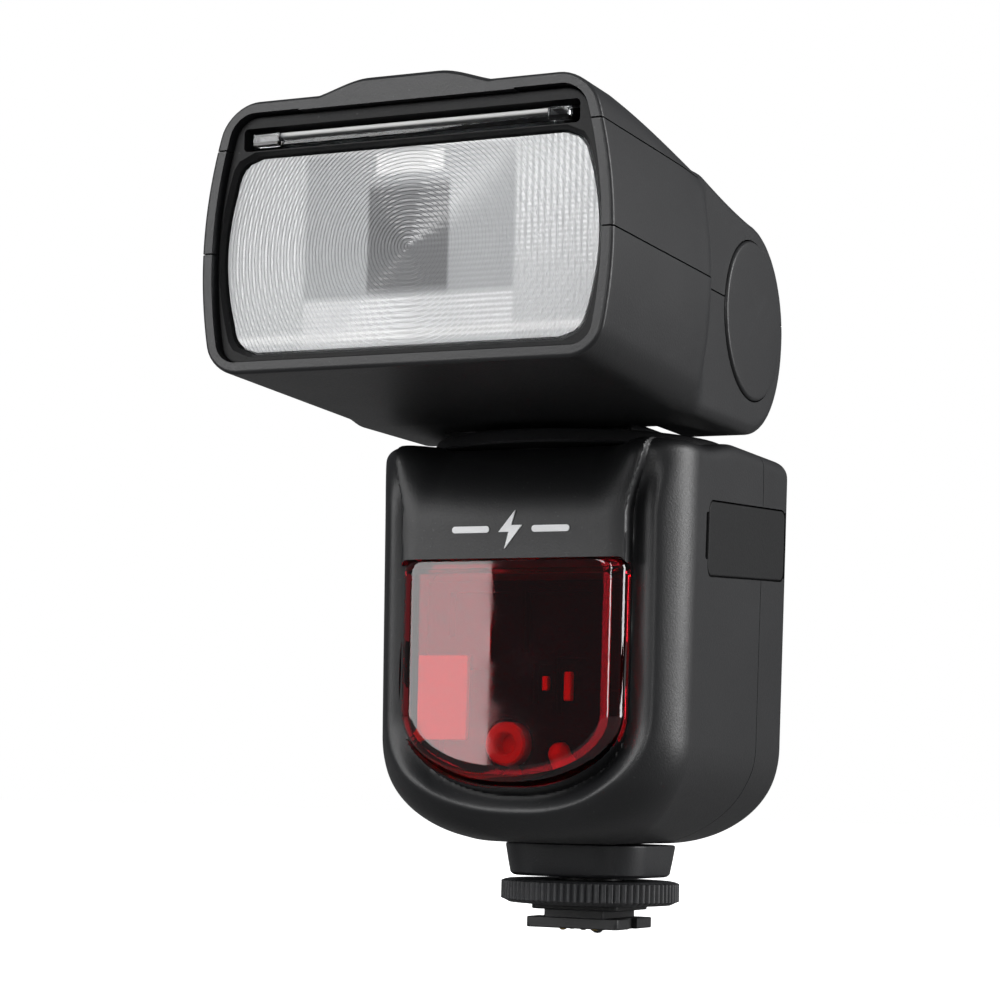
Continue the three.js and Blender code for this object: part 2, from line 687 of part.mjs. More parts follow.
function buildPowerSwitch() {
  const { x, z, half, tall, travel, proud } = powerSwitch;
  const inner = body.rear - wall;
  const knob = block(x - half, x + half, inner - 1, body.rear + proud, z - tall, z + tall);
  const slider = block(x - half - travel - 0.8, x + half + travel + 0.8, inner - 1.9, inner - 0.4,
    z - tall - 0.9, z + tall + 0.9);
  return knob.add(slider);
}

// Insides
function buildSyncJack() {
  return rodX(jack.y, sockets.z, jack.radius, sockets.back, sockets.front)
    .subtract(rodX(jack.y, sockets.z, jack.bore, sockets.back + 2, sockets.front + 2));
}

function buildUsbPort() {
  return sideSolid(usbOutline(0), sockets.back, sockets.front)
    .subtract(sideSolid(usbOutline(-usb.edge), sockets.back + 2, sockets.front + 2));
}

function buildBattery() {
  const outer = -body.half + door.thick + 2 * gap + 0.4;
  const side = rectangle(door.front + 2, door.rear - 2, battery.low, battery.high, 2);
  return sideSolid(side, outer, battery.inner);
}

function buildBatteryContacts() {
  const near = battery.inner + 2 * gap;
  return block(near, near + 1.2, door.front + 6, door.rear - 7, battery.low + 5, battery.low + 17);
}

function buildCapacitor() {
  return rodZ(capacitor.x, capacitor.y, capacitor.radius, capacitor.low, capacitor.high, undefined, 32);
}

function buildMainBoard() {
  return block(-board.half, board.half, board.front, board.back, body.bottom + 18, body.deck - 7.6);
}

function buildScreenWindow() {
  return frontSolid(screenOutline(0), body.rear - 0.7, body.rear + 0.1);
}

function buildScreenModule() {
  const half = screen.half - 2.5;
  return block(-half, half, board.back + 0.4, body.rear - 1.1, screen.bottom + 2.5, screen.top - 2.5);
}

function buildWindow() {
  const front = body.front - redWindow.thick - 0.2;
  return frontSolid(windowOutline(0), front, body.front - 0.25);
}

function buildFocusHolder() {
  const { half, front, back, bottom, top, pocket } = holder;
  const [near, deep] = [front - 1.5, front + pocket];
  return block(-half, half, front, back, bottom, top)
    .subtract(rodY(focusRing.x, focusRing.z, focusRing.outer + gap, near, deep))
    .subtract(rodY(focusLamp.x, focusLamp.z, focusLamp.radius + gap, near, deep))
    .subtract(block(-16, -3, near, front + 2, bottom + 16.7, top - 3))
    .subtract(block(3, 14, near, front + 2, bottom + 14.7, top - 3));
}

function buildFocusRing() {
  const back = holder.front + holder.pocket - 0.4;
  return rodY(focusRing.x, focusRing.z, focusRing.outer, holder.front - 0.9, back, 32)
    .subtract(rodY(focusRing.x, focusRing.z, focusRing.inner, holder.front - 2, holder.front + 1.5));
}

function buildFocusLamp() {
  const back = holder.front + holder.pocket - 0.4;
  return rodY(focusLamp.x, focusLamp.z, focusLamp.radius, holder.front - 0.7, back, 16);
}

function buildZoomMotor() {
  const back = leadScrew.front - gap;
  return rodY(leadScrew.x, leadScrew.z, motor.radius, back - motor.length, back);
}

function buildGuideRod(x) {
  return rodY(x, guide.z, guide.radius, guide.front, guide.back, 12);
}

function buildLeadScrew() {
  return rodY(leadScrew.x, leadScrew.z, leadScrew.radius, leadScrew.front, leadScrew.back, 16);
}

// The two sheets kept in the slot above the lens
function buildWidePanel() {
  const half = slot.half - 1.4;
  return block(-half, half, frameFace.front + 0.6, slot.back - 4, slot.bottom + gap, slot.bottom + 1.3);
}

function buildBounceCard() {
  const half = slot.half - 5.6;
  return block(-half, half, frameFace.front + 0.4, slot.back - 4, slot.bottom + 1.8, slot.bottom + 2.8);
}

const finish = {
  blackPlastic: { color: 0x1b1c1e, roughness: 0.55, metalness: 0 },
  darkPlastic: { color: 0x111214, roughness: 0.6, metalness: 0 },
  keyRubber: { color: 0x26282b, roughness: 0.75, metalness: 0 },
  flapRubber: { color: 0x1d1e20, roughness: 0.7, metalness: 0 },
  clear: { color: 0xe8eef2, roughness: 0.08, metalness: 0 },
  redClear: { color: 0x5a0610, roughness: 0.06, metalness: 0 },
  screenGlass: { color: 0x14181c, roughness: 0.1, metalness: 0 },
  screenPanel: { color: 0x8d9c86, roughness: 0.4, metalness: 0 },
  whitePlastic: { color: 0xf2f3f2, roughness: 0.5, metalness: 0 },
  redPlastic: { color: 0xb01018, roughness: 0.4, metalness: 0 },
  steel: { color: 0xa8abad, roughness: 0.3, metalness: 1 },
  chrome: { color: 0xd8dadc, roughness: 0.12, metalness: 1 },
  brass: { color: 0xc9a24a, roughness: 0.25, metalness: 1 },
  mirror: { color: 0xdfe3e6, roughness: 0.1, metalness: 1 },
  board: { color: 0x1f5a35, roughness: 0.6, metalness: 0 },
  sleeve: { color: 0x1a2740, roughness: 0.45, metalness: 0 },
};

const group = new THREE.Group();

function put(name, shape, look) {
  const mesh = new THREE.Mesh(geometryOf(shape), new THREE.MeshStandardMaterial(finish[look]));
  mesh.name = name;
  group.add(mesh);
}

function addBody() {
  const shell = caseShell();
  const side = body.half + 5;
  const [front, rear, above] = [body.front - 5, body.rear + 5, bodyTop + 5];
  put('front_shell', shell.intersect(block(-side, side, front, seamY - gap / 2, 0, above)), 'blackPlastic');
  put('rear_shell', shell.intersect(block(-side, side, seamY + gap / 2, rear, 0, above)), 'blackPlastic');
  put('focus_window', buildWindow(), 'redClear');
  put('focus_holder', buildFocusHolder(), 'darkPlastic');
  put('focus_ring', buildFocusRing(), 'redPlastic');
  put('focus_lamp', buildFocusLamp(), 'redPlastic');
  put('screen_window', buildScreenWindow(), 'screenGlass');
  put('screen_module', buildScreenModule(), 'screenPanel');
  put('main_board', buildMainBoard(), 'board');
  put('capacitor', buildCapacitor(), 'sleeve');
  put('battery_pack', buildBattery(), 'darkPlastic');
  put('battery_contacts', buildBatteryContacts(), 'brass');
  put('sync_jack', buildSyncJack(), 'steel');
  put('usb_port', buildUsbPort(), 'steel');
  put('port_flap', buildFlap(), 'flapRubber');
  put('battery_door', buildDoor(), 'blackPlastic');
}

function buildDial() {
  return rodY(0, dial.z, dial.outer, body.rear - 0.9, body.rear + dial.proud, 40)
    .subtract(rodY(0, dial.z, dial.inner, body.rear - 4, body.rear + 4));
}

function buildSetButton() {
  const radius = dial.inner - 2 * gap - 0.1;
  return rodY(0, dial.z, radius, body.rear - wall - 0.8, body.rear + dial.proud);
}

function addControls() {
  for (const key of allKeys()) put(key.name, buildKey(key), 'keyRubber');
  put('control_dial', buildDial(), 'darkPlastic');
  put('set_button', buildSetButton(), 'keyRubber');
  put('power_switch', buildPowerSwitch(), 'darkPlastic');
}

function addShoe() {
  put('shoe_collar', buildCollar(), 'blackPlastic');
  put('shoe_foot', buildFoot(), 'darkPlastic');
  put('contact_block', buildContactBlock(), 'darkPlastic');
  put('contact_pins', buildContacts(), 'brass');
  put('clamp_plate', buildClampPlate(), 'darkPlastic');
  put('lock_ring', buildLockRing(), 'blackPlastic');
  put('locking_pin', buildLockPin(), 'chrome');
}

function addNeck() {
  const reach = head.rearHalf - 2;
  put('neck_turntable', buildTurntable(), 'blackPlastic');
  put('retaining_ring', buildRetainingRing(), 'steel');
  put('neck_front_cover', neckHalf(-1), 'blackPlastic');
  put('neck_rear_cover', neckHalf(1), 'blackPlastic');
  put('tilt_shaft', rodX(hinge.y, hinge.z, tiltShaft, -reach, reach), 'steel');
  put('detent_plate', buildDetentPlate(), 'steel');
}

function addHead() {
  const shell = headShell();
  const side = head.half + 5;
  const [front, rear] = [head.front - 5, hinge.y + earRadius + 5];
  const lower = block(-side, side, front, rear, head.heel - 5, head.partZ - gap / 2);
  const upper = block(-side, side, front, rear, head.partZ + gap / 2, head.top + 5);
  put('head_lower_shell', shell.intersect(lower), 'blackPlastic');
  put('head_upper_shell', shell.intersect(upper), 'blackPlastic');
  put('head_top_cover', buildTopCover(), 'blackPlastic');
  put('front_frame', buildFrontFrame(), 'darkPlastic');
  put('fresnel_lens', buildLens(), 'clear');
  put('tilt_cover_right', buildTiltCover(1), 'blackPlastic');
  put('tilt_cover_left', buildTiltCover(-1), 'blackPlastic');
  headScrewPlaces().forEach(([x, y], i) => put(`head_screw_${i + 1}`, buildScrew(x, y), 'steel'));
  put('wide_panel', buildWidePanel(), 'clear');
  put('bounce_card', buildBounceCard(), 'whitePlastic');
  put('zoom_motor', buildZoomMotor(), 'steel');
  put('lead_screw', buildLeadScrew(), 'steel');
  guide.places.forEach((x, i) => put(`guide_rod_${i + 1}`, buildGuideRod(x), 'steel'));
  put('reflector', buildReflector(), 'mirror');
  put('flash_tube', buildFlashTube(), 'clear');
  put('zoom_carriage', buildCarriage(), 'darkPlastic');
}

addBody();
addControls();
addShoe();
addNeck();
addHead();

export default group;
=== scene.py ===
"""Speedlight flash: visible pieces, finishes, stage and lights over the packed frame."""
import json
import math

import bmesh
import bpy
import numpy as np
from bpy.props import FloatProperty, FloatVectorProperty, PointerProperty
from mathutils import Matrix, Vector


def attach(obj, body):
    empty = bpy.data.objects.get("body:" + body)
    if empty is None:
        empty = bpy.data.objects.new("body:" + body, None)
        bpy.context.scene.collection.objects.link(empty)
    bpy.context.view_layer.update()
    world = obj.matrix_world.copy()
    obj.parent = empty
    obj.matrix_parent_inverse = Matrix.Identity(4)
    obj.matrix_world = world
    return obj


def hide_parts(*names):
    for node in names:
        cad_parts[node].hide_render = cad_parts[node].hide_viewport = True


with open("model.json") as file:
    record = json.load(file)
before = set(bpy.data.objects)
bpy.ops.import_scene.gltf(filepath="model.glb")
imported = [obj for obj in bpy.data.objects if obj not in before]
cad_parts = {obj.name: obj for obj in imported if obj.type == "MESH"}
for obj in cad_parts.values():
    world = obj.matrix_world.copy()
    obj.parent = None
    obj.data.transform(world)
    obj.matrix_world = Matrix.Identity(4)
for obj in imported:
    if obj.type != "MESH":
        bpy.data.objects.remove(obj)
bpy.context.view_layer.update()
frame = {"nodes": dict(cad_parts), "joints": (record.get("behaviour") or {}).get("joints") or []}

bl_info = {
    "name": "Speedlight flash",
    "version": (1, 0, 0),
    "blender": (4, 5, 0),
    "location": "View3D > Sidebar > Flash",
    "description": "Builds the flash's visible pieces on its packed frame",
    "category": "Object",
}

MM = 0.001
JOINTS = {joint["name"]: joint for joint in frame["joints"]}
HINGE_Y, HINGE_Z = (round(v / MM, 3) for v in JOINTS["head_tilt"]["pos_m"][1:])
NECK_Y = round(JOINTS["head_swivel"]["pos_m"][1] / MM, 3)
HEAD_FRONT, HEAD_LOW, HEAD_TOP = -86.7, 94.0, 141.0
EAR_TOP, EAR_BACK, EAR_LOW = 18.6, 18.7, 21.1
BODY_HALF, BODY_FRONT, BODY_REAR, BODY_LOW, BODY_TOP = 30.45, -38.7, 25.2, 16.0, 87.6
PANEL_HALF, PANEL_RISE = 22.2, 1.5
LENS_MID = 114.6
BARREL_RADIUS, BARREL_HALF = 18.8, 20.7
HINGE = (0, HINGE_Y, HINGE_Z)
DIAL = (0, 0, 41)
KEY_FACE = 25.9
ORDER = {"X": lambda u, v, w: (w, u, v), "Y": lambda u, v, w: (u, w, v), "Z": lambda u, v, w: (u, v, w)}


# ---------------------------------------------------------------- meshes

def smoothstep(t):
    t = np.clip(t, 0.0, 1.0)
    return t * t * (3 - 2 * t)


def roundoff(d, r):
    """How far a surface draws back at distance d from an edge of radius r."""
    inside = np.clip(r - np.asarray(d, float), 0.0, r)
    return r - np.sqrt(np.maximum(r * r - inside * inside, 0.0))


def mesh_object(name, points, faces):
    mesh = bpy.data.meshes.new(name)
    mesh.from_pydata([tuple(float(c) * MM for c in p) for p in points], [], faces)
    mesh.validate()
    mesh.update()
    piece = bpy.data.objects.new(name, mesh)
    bpy.context.scene.collection.objects.link(piece)
    return piece


def loft(name, rows):
    """A closed solid through rows of points, each row a closed loop of the same count."""
    count = len(rows[0])
    points = [p for row in rows for p in row]
    faces = []
    for i in range(len(rows) - 1):
        a, b = i * count, (i + 1) * count
        for j in range(count):
            k = (j + 1) % count
            faces.append((a + j, a + k, b + k, b + j))
    faces.append(tuple(range(count))[::-1])
    faces.append(tuple((len(rows) - 1) * count + j for j in range(count)))
    piece = mesh_object(name, points, faces)
    outward(piece)
    return piece


def outward(piece):
    work = bmesh.new()
    work.from_mesh(piece.data)
    bmesh.ops.remove_doubles(work, verts=work.verts, dist=2e-6)
    bmesh.ops.recalc_face_normals(work, faces=work.faces)
    if work.calc_volume(signed=True) < 0:
        bmesh.ops.reverse_faces(work, faces=work.faces)
    work.to_mesh(piece.data)
    work.free()


def prism(name, outline, axis, low, high):
    """An outline pushed along X (points y, z), Y (points x, z) or Z (points x, y)."""
    return loft(name, [[ORDER[axis](u, v, w) for u, v in outline] for w in (low, high)])


def rounded(u0, u1, v0, v1, r, steps=8):
    points = []
    low_u, high_u, low_v, high_v = u0 + r, u1 - r, v0 + r, v1 - r
    for cu, cv, start in ((high_u, high_v, 0), (low_u, high_v, 90), (low_u, low_v, 180), (high_u, low_v, 270)):
        for k in range(steps + 1):
            a = math.radians(start + 90 * k / steps)
            points.append((cu + r * math.cos(a), cv + r * math.sin(a)))
    return points


def slab(name, x0, x1, y0, y1, z0, z1, r=0.0):
    piece = prism(name, [(x0, y0), (x1, y0), (x1, y1), (x0, y1)], "Z", z0, z1)
    return soften(piece, r) if r > 0 else piece


def turned(name, profile, axis, centre, steps=96):
    """A solid of revolution: profile of (radius, along) from axis to axis."""
    rows = []
    cx, cy, cz = centre
    for radius, along in profile:
        row = []
        for k in range(steps):
            a = 2 * math.pi * k / steps
            dx, dy, dz = ORDER[axis](radius * math.cos(a), radius * math.sin(a), along)
            row.append((cx + dx, cy + dy, cz + dz))
        rows.append(row)
    return loft(name, rows)


def soften(piece, width, segments=3, angle=35):
    """Bevels the sharp edges; the width is scaled by the user's edge radius."""
    bevel = piece.modifiers.new("soft_edges", "BEVEL")
    bevel.width = width * MM * bpy.context.scene.flash_sizes.edge / 0.35
    bevel.segments = segments
    bevel.limit_method = "ANGLE"
    bevel.angle_limit = math.radians(angle)
    bevel.harden_normals = False
    bake(piece)
    return piece


def bake(piece):
    graph = bpy.context.evaluated_depsgraph_get()
    graph.update()
    fresh = bpy.data.meshes.new_from_object(piece.evaluated_get(graph))
    piece.modifiers.clear()
    piece.data = fresh


def combine(piece, other, how="DIFFERENCE"):
    cut = piece.modifiers.new("cut", "BOOLEAN")
    cut.operation = how
    cut.object = other
    cut.solver = "MANIFOLD"
    before = len(piece.data.polygons)
    bake(piece)
    if not piece.data.polygons and before:
        raise RuntimeError(f"nothing is left of {piece.name} after {other.name}")
    bpy.data.objects.remove(other)
    return piece


def copy_of(piece, name):
    twin = piece.copy()
    twin.data = piece.data.copy()
    twin.name = name
    bpy.context.scene.collection.objects.link(twin)
    return twin


def place(piece, body, look, *nodes, angle=32):
    """Smooth shading, finish with its material slot, body and the CAD nodes it stands for."""
    for polygon in piece.data.polygons:
        polygon.use_smooth = True
    piece.data.set_sharp_from_angle(angle=math.radians(angle))
    flatten = piece.modifiers.new("flat_faces_stay_flat", "WEIGHTED_NORMAL")
    flatten.keep_sharp = True
    bake(piece)
    piece.data.materials.clear()
    piece.data.materials.append(FINISH[look])
    if nodes:
        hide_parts(*nodes)
    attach(piece, body)
    return piece


# ---------------------------------------------------------------- forms

def head_top(y):
    t = np.clip((HINGE_Y - y) / 66.0, 0.0, 1.0)
    return HINGE_Z + EAR_TOP + (HEAD_TOP - HINGE_Z - EAR_TOP) * (0.5 * t + 0.5 * smoothstep(t))


def head_low(y):
    slope = np.clip((HINGE_Y - 26.3 - y) / (HINGE_Y - 26.3 - HEAD_FRONT), 0.0, 1.0)
    return HINGE_Z - EAR_LOW + (HEAD_LOW - HINGE_Z + EAR_LOW) * slope


def head_half(y, z, inset):
    rear = smoothstep((y + 42.0) / 6.5)
    bowed = 38.0 - 4.2 * ((z - 114.0) / 26.0) ** 2
    return bowed * (1 - rear) + np.minimum(bowed, 34.3) * rear - inset


def head_section(y, inset, sides=44, tops=20):
    rear = float(smoothstep((y + 42.0) / 6.5))
    r_top = 5.6 * (1 - rear) + 2.0 * rear
    r_low = 5.0 * (1 - rear) + 2.0 * rear
    r_top, r_low = max(r_top - inset, 0.4), max(r_low - inset, 0.4)
    behind = y > HINGE_Y
    if behind:
        along = (y - HINGE_Y) / (EAR_BACK - inset)
        reach = math.sqrt(max(1 - along * along, 1e-6))
        low = HINGE_Z - (EAR_LOW - inset) * reach
        top = HINGE_Z + (EAR_TOP - inset) * reach
    else:
        low, top = float(head_low(y)) + inset, float(head_top(y)) - inset
    t = 0.5 - 0.5 * np.cos(np.linspace(0, math.pi, sides))
    z = low + (top - low) * t
    half = head_half(y, z, inset)
    if behind:
        tall = np.where(z > HINGE_Z, EAR_TOP, EAR_LOW) - inset
        d = np.maximum(1 - np.hypot(along, (z - HINGE_Z) / tall), 0) * (EAR_BACK - inset)
        half = half - roundoff(d, r_top)
    else:
        half = half - roundoff(top - z, r_top) - roundoff(z - low, r_low)
    right = [(float(h), y, float(v)) for h, v in zip(half, z)]
    left = [(-x, y, v) for x, _, v in reversed(right)]
    xt, xb = right[-1][0], right[0][0]
    across = [(xt + (-2 * xt) * k / tops, y, top) for k in range(1, tops)]
    under = [(-xb + 2 * xb * k / tops, y, low) for k in range(1, tops)]
    return right + across + left + under


def head_form(name, inset=0.0, front=HEAD_FRONT, rear=None, lip=0.7):
    rows = []
    for k in range(6 if lip else 0):
        a = 0.5 * math.pi * k / 6
        rows.append(head_section(front + lip * (1 - math.cos(a)), inset + lip * (1 - math.sin(a))))
    start = front + (lip or 0)
    stop = HINGE_Y if rear is None else rear
    rows += [head_section(y, inset) for y in np.linspace(start, stop, max(int((stop - start) / 1.1), 2))]
    if rear is None:
        for t in np.linspace(0, 0.5 * math.pi, 26)[1:]:
            rows.append(head_section(HINGE_Y + (EAR_BACK - inset) * min(math.sin(t), 0.9995), inset))
    return loft(name, rows)


def lens_outline(grow=0.0, steps=26):
    side, bow, low, high, r = 30.5 + grow, 3.9, 98.0 - grow, 131.5 + grow, 3.2
    points = []
    for k in range(steps + 1):
        t = k / steps
        z = low + (high - low) * t
        x = side + bow * math.sin(math.pi * (0.06 + 0.88 * t))
        x = x - float(roundoff(z - low, r)) - float(roundoff(high - z, r))
        points.append((x, z))
    return points + [(-x, z) for x, z in reversed(points)]


def window_outline(inset=0.0, steps=16):
    half, low, top = 21.9 - inset, 25.9 + inset, 66.3 - inset
    wide, tall, r_top = 19.6 - inset, 12.8 - inset, 1.6
    points = []
    for cx, cz, rx, rz, start in ((half - wide, low + tall, wide, tall, -90),
                                  (half - r_top, top - r_top, r_top, r_top, 0)):
        for k in range(steps + 1):
            a = math.radians(start + 90 * k / steps)
            points.append((cx + rx * math.cos(a), cz + rz * math.sin(a)))
    right = [(x - 0.9 * max(0.0, (48 - z) / 22) ** 2, z) for x, z in points]
    return right + [(-x, z) for x, z in reversed(right)]


def panel_distance(x, z):
    """Distance outside the proud centre panel, whose lower corners are elliptic and whose top flares out."""
    wide, tall, low = 19.9, 13.6, 25.0
    half = PANEL_HALF - 0.9 * max(0.0, (48 - z) / 22) ** 2 + 2.6 * float(smoothstep((z - 74.0) / 13.0))
    u = abs(x) - (half - wide)
    v = (low + tall) - z
    if u <= 0 or v <= 0:
        return max(u - wide, v - tall)
    rho = math.hypot(u / wide, v / tall)
    return (rho - 1) * rho / math.hypot(u / wide ** 2, v / tall ** 2)


def front_relief(x, z):
    """Height of the front face over its plain form: proud panel, valley, then the pillar's crest."""
    d = panel_distance(x, z)
    panel = PANEL_RISE * float(smoothstep((0.2 - d) / 0.9))
    valley = -2.6 * float(smoothstep((d + 0.35) / 0.9)) * float(smoothstep((4.2 - d) / 3.7))
    crest = 0.3 * math.exp(-(((d - 4.6) / 1.5) ** 2))
    fade_top = float(smoothstep((87.0 - z) / 12.0))
    fade_low = float(smoothstep((z - 17.0) / 6.0))
    return (panel + (valley + crest) * fade_top) * fade_low


def body_lean(z):
    """How far each side wall stands outside its middle width: the case widens upwards."""
    return 0.45 * float(np.clip((z - 60.0) / 25.0, -1.0, 1.0))


def body_lift(y):
    """Rise of the case's top over its front deck."""
    return 0.8 + 2.2 * float(smoothstep((y + 24.0) / 19.0))


def lean(piece, side):
    """Leans a flat side cover with the case wall it sits in."""
    for vertex in piece.data.vertices:
        vertex.co.x += side * body_lean(vertex.co.z / MM) * MM
    return piece


def body_section(z, inset, relief):
    side = float(roundoff(z - BODY_LOW, 19.0) + roundoff(BODY_TOP - z, 2.6))
    half = BODY_HALF + body_lean(z) - side - inset
    rear = BODY_REAR - float(roundoff(z - BODY_LOW, 13.0) + roundoff(BODY_TOP - z, 3.5)) - inset
    chin = float(roundoff(z - BODY_LOW, 12.0))
    front = BODY_FRONT + chin + inset
    rf = min(12.0 - inset, half * 0.75, (rear - front) * 0.4)
    rr = min(4.0, half * 0.3)
    points = []

    def add(x, y, nx, ny):
        brow = float(roundoff(BODY_TOP - z, 15.0)) - float(roundoff(BODY_TOP - z, 4.0))
        share = float(smoothstep((24.0 - abs(x)) / 9.0)) if ny < 0 else 0.0
        flat = max(-ny, 0.0)
        back = (float(roundoff(BODY_TOP - z, 4.0)) + brow * share) * flat ** 1.5
        rise = front_relief(x, z) * flat if relief else 0.0
        points.append((x + nx * rise, y + ny * rise + back, z))

    def run(x0, y0, x1, y1, nx, ny, count):
        for k in range(count):
            add(x0 + (x1 - x0) * k / count, y0 + (y1 - y0) * k / count, nx, ny)

    def corner(x, y, r, start, count):
        for k in range(count):
            a = math.radians(start + 90 * k / count)
            add(x + r * math.cos(a), y + r * math.sin(a), math.cos(a), math.sin(a))

    u, v = half - rf, half - rr
    low, high = front + rf, rear - rr
    run(-u, front, u, front, 0, -1, 90)
    corner(u, low, rf, -90, 60)
    run(half, low, half, high, 1, 0, 44)
    corner(v, high, rr, 0, 10)
    run(v, rear, -v, rear, 0, 1, 40)
    corner(-v, high, rr, 90, 10)
    run(-half, high, -half, low, -1, 0, 44)
    corner(-u, low, rf, 180, 60)
    return points


def body_form(name, inset=0.0, relief=True):
    low, top = BODY_LOW, BODY_TOP
    levels = [low + 14 * (1 - math.cos(0.5 * math.pi * k / 56)) for k in range(56)]
    levels += list(np.linspace(low + 14, top - 9, 62))
    levels += [top - 9 * (1 - math.sin(0.5 * math.pi * k / 18)) for k in range(1, 19)]
    rows = []
    for z in levels:
        share = float(smoothstep((z - 72.0) / (top - 72.0)))
        rows.append([(x, y, z + body_lift(y) * share) for x, y, _ in body_section(float(z), inset, relief)])
    edge = rows[-1]
    for size in (0.97, 0.9, 0.8, 0.65, 0.5, 0.35, 0.2, 0.08, 0.01):
        cap = [(x * size, -6.0 + (y + 6.0) * size) for x, y, _ in edge]
        rows.append([(x, y, top + body_lift(y)) for x, y in cap])
    return loft(name, rows)


def side_prism(name, y0, y1, z0, z1, r, low, high):
    return prism(name, rounded(y0, y1, z0, z1, r), "X", low, high)


def front_prism(name, x0, x1, z0, z1, r, low, high):
    return prism(name, rounded(x0, x1, z0, z1, r), "Y", low, high)


def rod(name, axis, centre, radius, low, high, steps=48):
    return turned(name, [(radius, low), (radius, high)], axis, centre, steps)


def seam_line(shift):
    """The side seam between the front and rear shells, as (y, z) points from below to above."""
    curve = [(0, 10), (2, 18), (3.6, 20), (5, 22), (6.3, 24.6), (7.3, 28), (8, 31), (8, 84),
             (7.7, 90), (7.4, 96)]
    return [(y + shift, z) for y, z in curve]


# ---------------------------------------------------------------- finishes

def node_group(name, inputs, outputs):
    group = bpy.data.node_groups.new(name, "ShaderNodeTree")
    for label, kind, value in inputs:
        socket = group.interface.new_socket(name=label, in_out="INPUT", socket_type=kind)
        if value is not None:
            socket.default_value = value
    for label, kind in outputs:
        group.interface.new_socket(name=label, in_out="OUTPUT", socket_type=kind)
    start = group.nodes.new("NodeGroupInput")
    end = group.nodes.new("NodeGroupOutput")
    return group, start, end


def feed(tree, socket, value):
    """Sets a socket to a constant, or links it to another node's output."""
    if isinstance(value, (int, float, tuple)):
        socket.default_value = value
    elif value is not None:
        tree.links.new(value, socket)


def math_node(tree, operation, a, b=None, clamp=False):
    node = tree.nodes.new("ShaderNodeMath")
    node.operation = operation
    node.use_clamp = clamp
    feed(tree, node.inputs[0], a)
    feed(tree, node.inputs[1], b)
    return node.outputs[0]


def times(tree, a, b, clamp=False):
    return math_node(tree, "MULTIPLY", a, b, clamp)


def mix_colour(tree, factor, a, b):
    node = tree.nodes.new("ShaderNodeMix")
    node.data_type = "RGBA"
    for socket, value in ((node.inputs[0], factor), (node.inputs[6], a), (node.inputs[7], b)):
        feed(tree, socket, value)
    return node.outputs[2]


def noise(tree, scale, detail=2.0, rough=0.5, vector=None):
    node = tree.nodes.new("ShaderNodeTexNoise")
    node.inputs["Scale"].default_value = scale
    node.inputs["Detail"].default_value = detail
    node.inputs["Roughness"].default_value = rough
    feed(tree, node.inputs["Vector"], vector)
    return node.outputs["Fac"]


def surface_group():
    """Moulded or machined surface: fine grain, slow colour drift, worn edges and a little dust."""
    group, start, end = node_group("moulded_surface", [
        ("Colour", "NodeSocketColor", (0.02, 0.02, 0.02, 1)),
        ("Worn Colour", "NodeSocketColor", (0.06, 0.06, 0.06, 1)),
        ("Roughness", "NodeSocketFloat", 0.5),
        ("Grain Scale", "NodeSocketFloat", 2500.0),
        ("Grain Depth", "NodeSocketFloat", 1.0),
        ("Wear", "NodeSocketFloat", 0.3),
        ("Drift", "NodeSocketFloat", 0.12),
    ], [("Colour", "NodeSocketColor"), ("Roughness", "NodeSocketFloat"), ("Height", "NodeSocketFloat")])
    place_at = group.nodes.new("ShaderNodeTexCoord").outputs["Object"]
    fine = group.nodes.new("ShaderNodeTexNoise")
    fine.inputs["Detail"].default_value = 3.0
    group.links.new(place_at, fine.inputs["Vector"])
    group.links.new(start.outputs["Grain Scale"], fine.inputs["Scale"])
    slow = noise(group, 45.0, 3.0, 0.6, place_at)
    specks = noise(group, 1400.0, 1.0, 0.5, place_at)
    speck_mask = math_node(group, "GREATER_THAN", specks, 0.75)
    edge = group.nodes.new("ShaderNodeNewGeometry").outputs["Pointiness"]
    edge_up = times(group, math_node(group, "SUBTRACT", edge, 0.515), 14.0, True)
    broken = times(group, edge_up, math_node(group, "ADD", slow, 0.15), True)
    worn = times(group, broken, start.outputs["Wear"], True)
    drifted = mix_colour(group, times(group, slow, start.outputs["Drift"]),
                         start.outputs["Colour"], start.outputs["Worn Colour"])
    coloured = mix_colour(group, worn, drifted, start.outputs["Worn Colour"])
    dusty = mix_colour(group, times(group, speck_mask, 0.05), coloured, (0.3, 0.3, 0.3, 1))
    group.links.new(dusty, end.inputs["Colour"])
    spread = times(group, math_node(group, "SUBTRACT", fine.outputs["Fac"], 0.5), 0.14)
    slow_rough = times(group, math_node(group, "SUBTRACT", slow, 0.5), 0.08)
    grained = math_node(group, "ADD", start.outputs["Roughness"], spread)
    rough = math_node(group, "ADD", grained, slow_rough, True)
    group.links.new(rough, end.inputs["Roughness"])
    height = times(group, fine.outputs["Fac"], start.outputs["Grain Depth"])
    group.links.new(height, end.inputs["Height"])
    return group


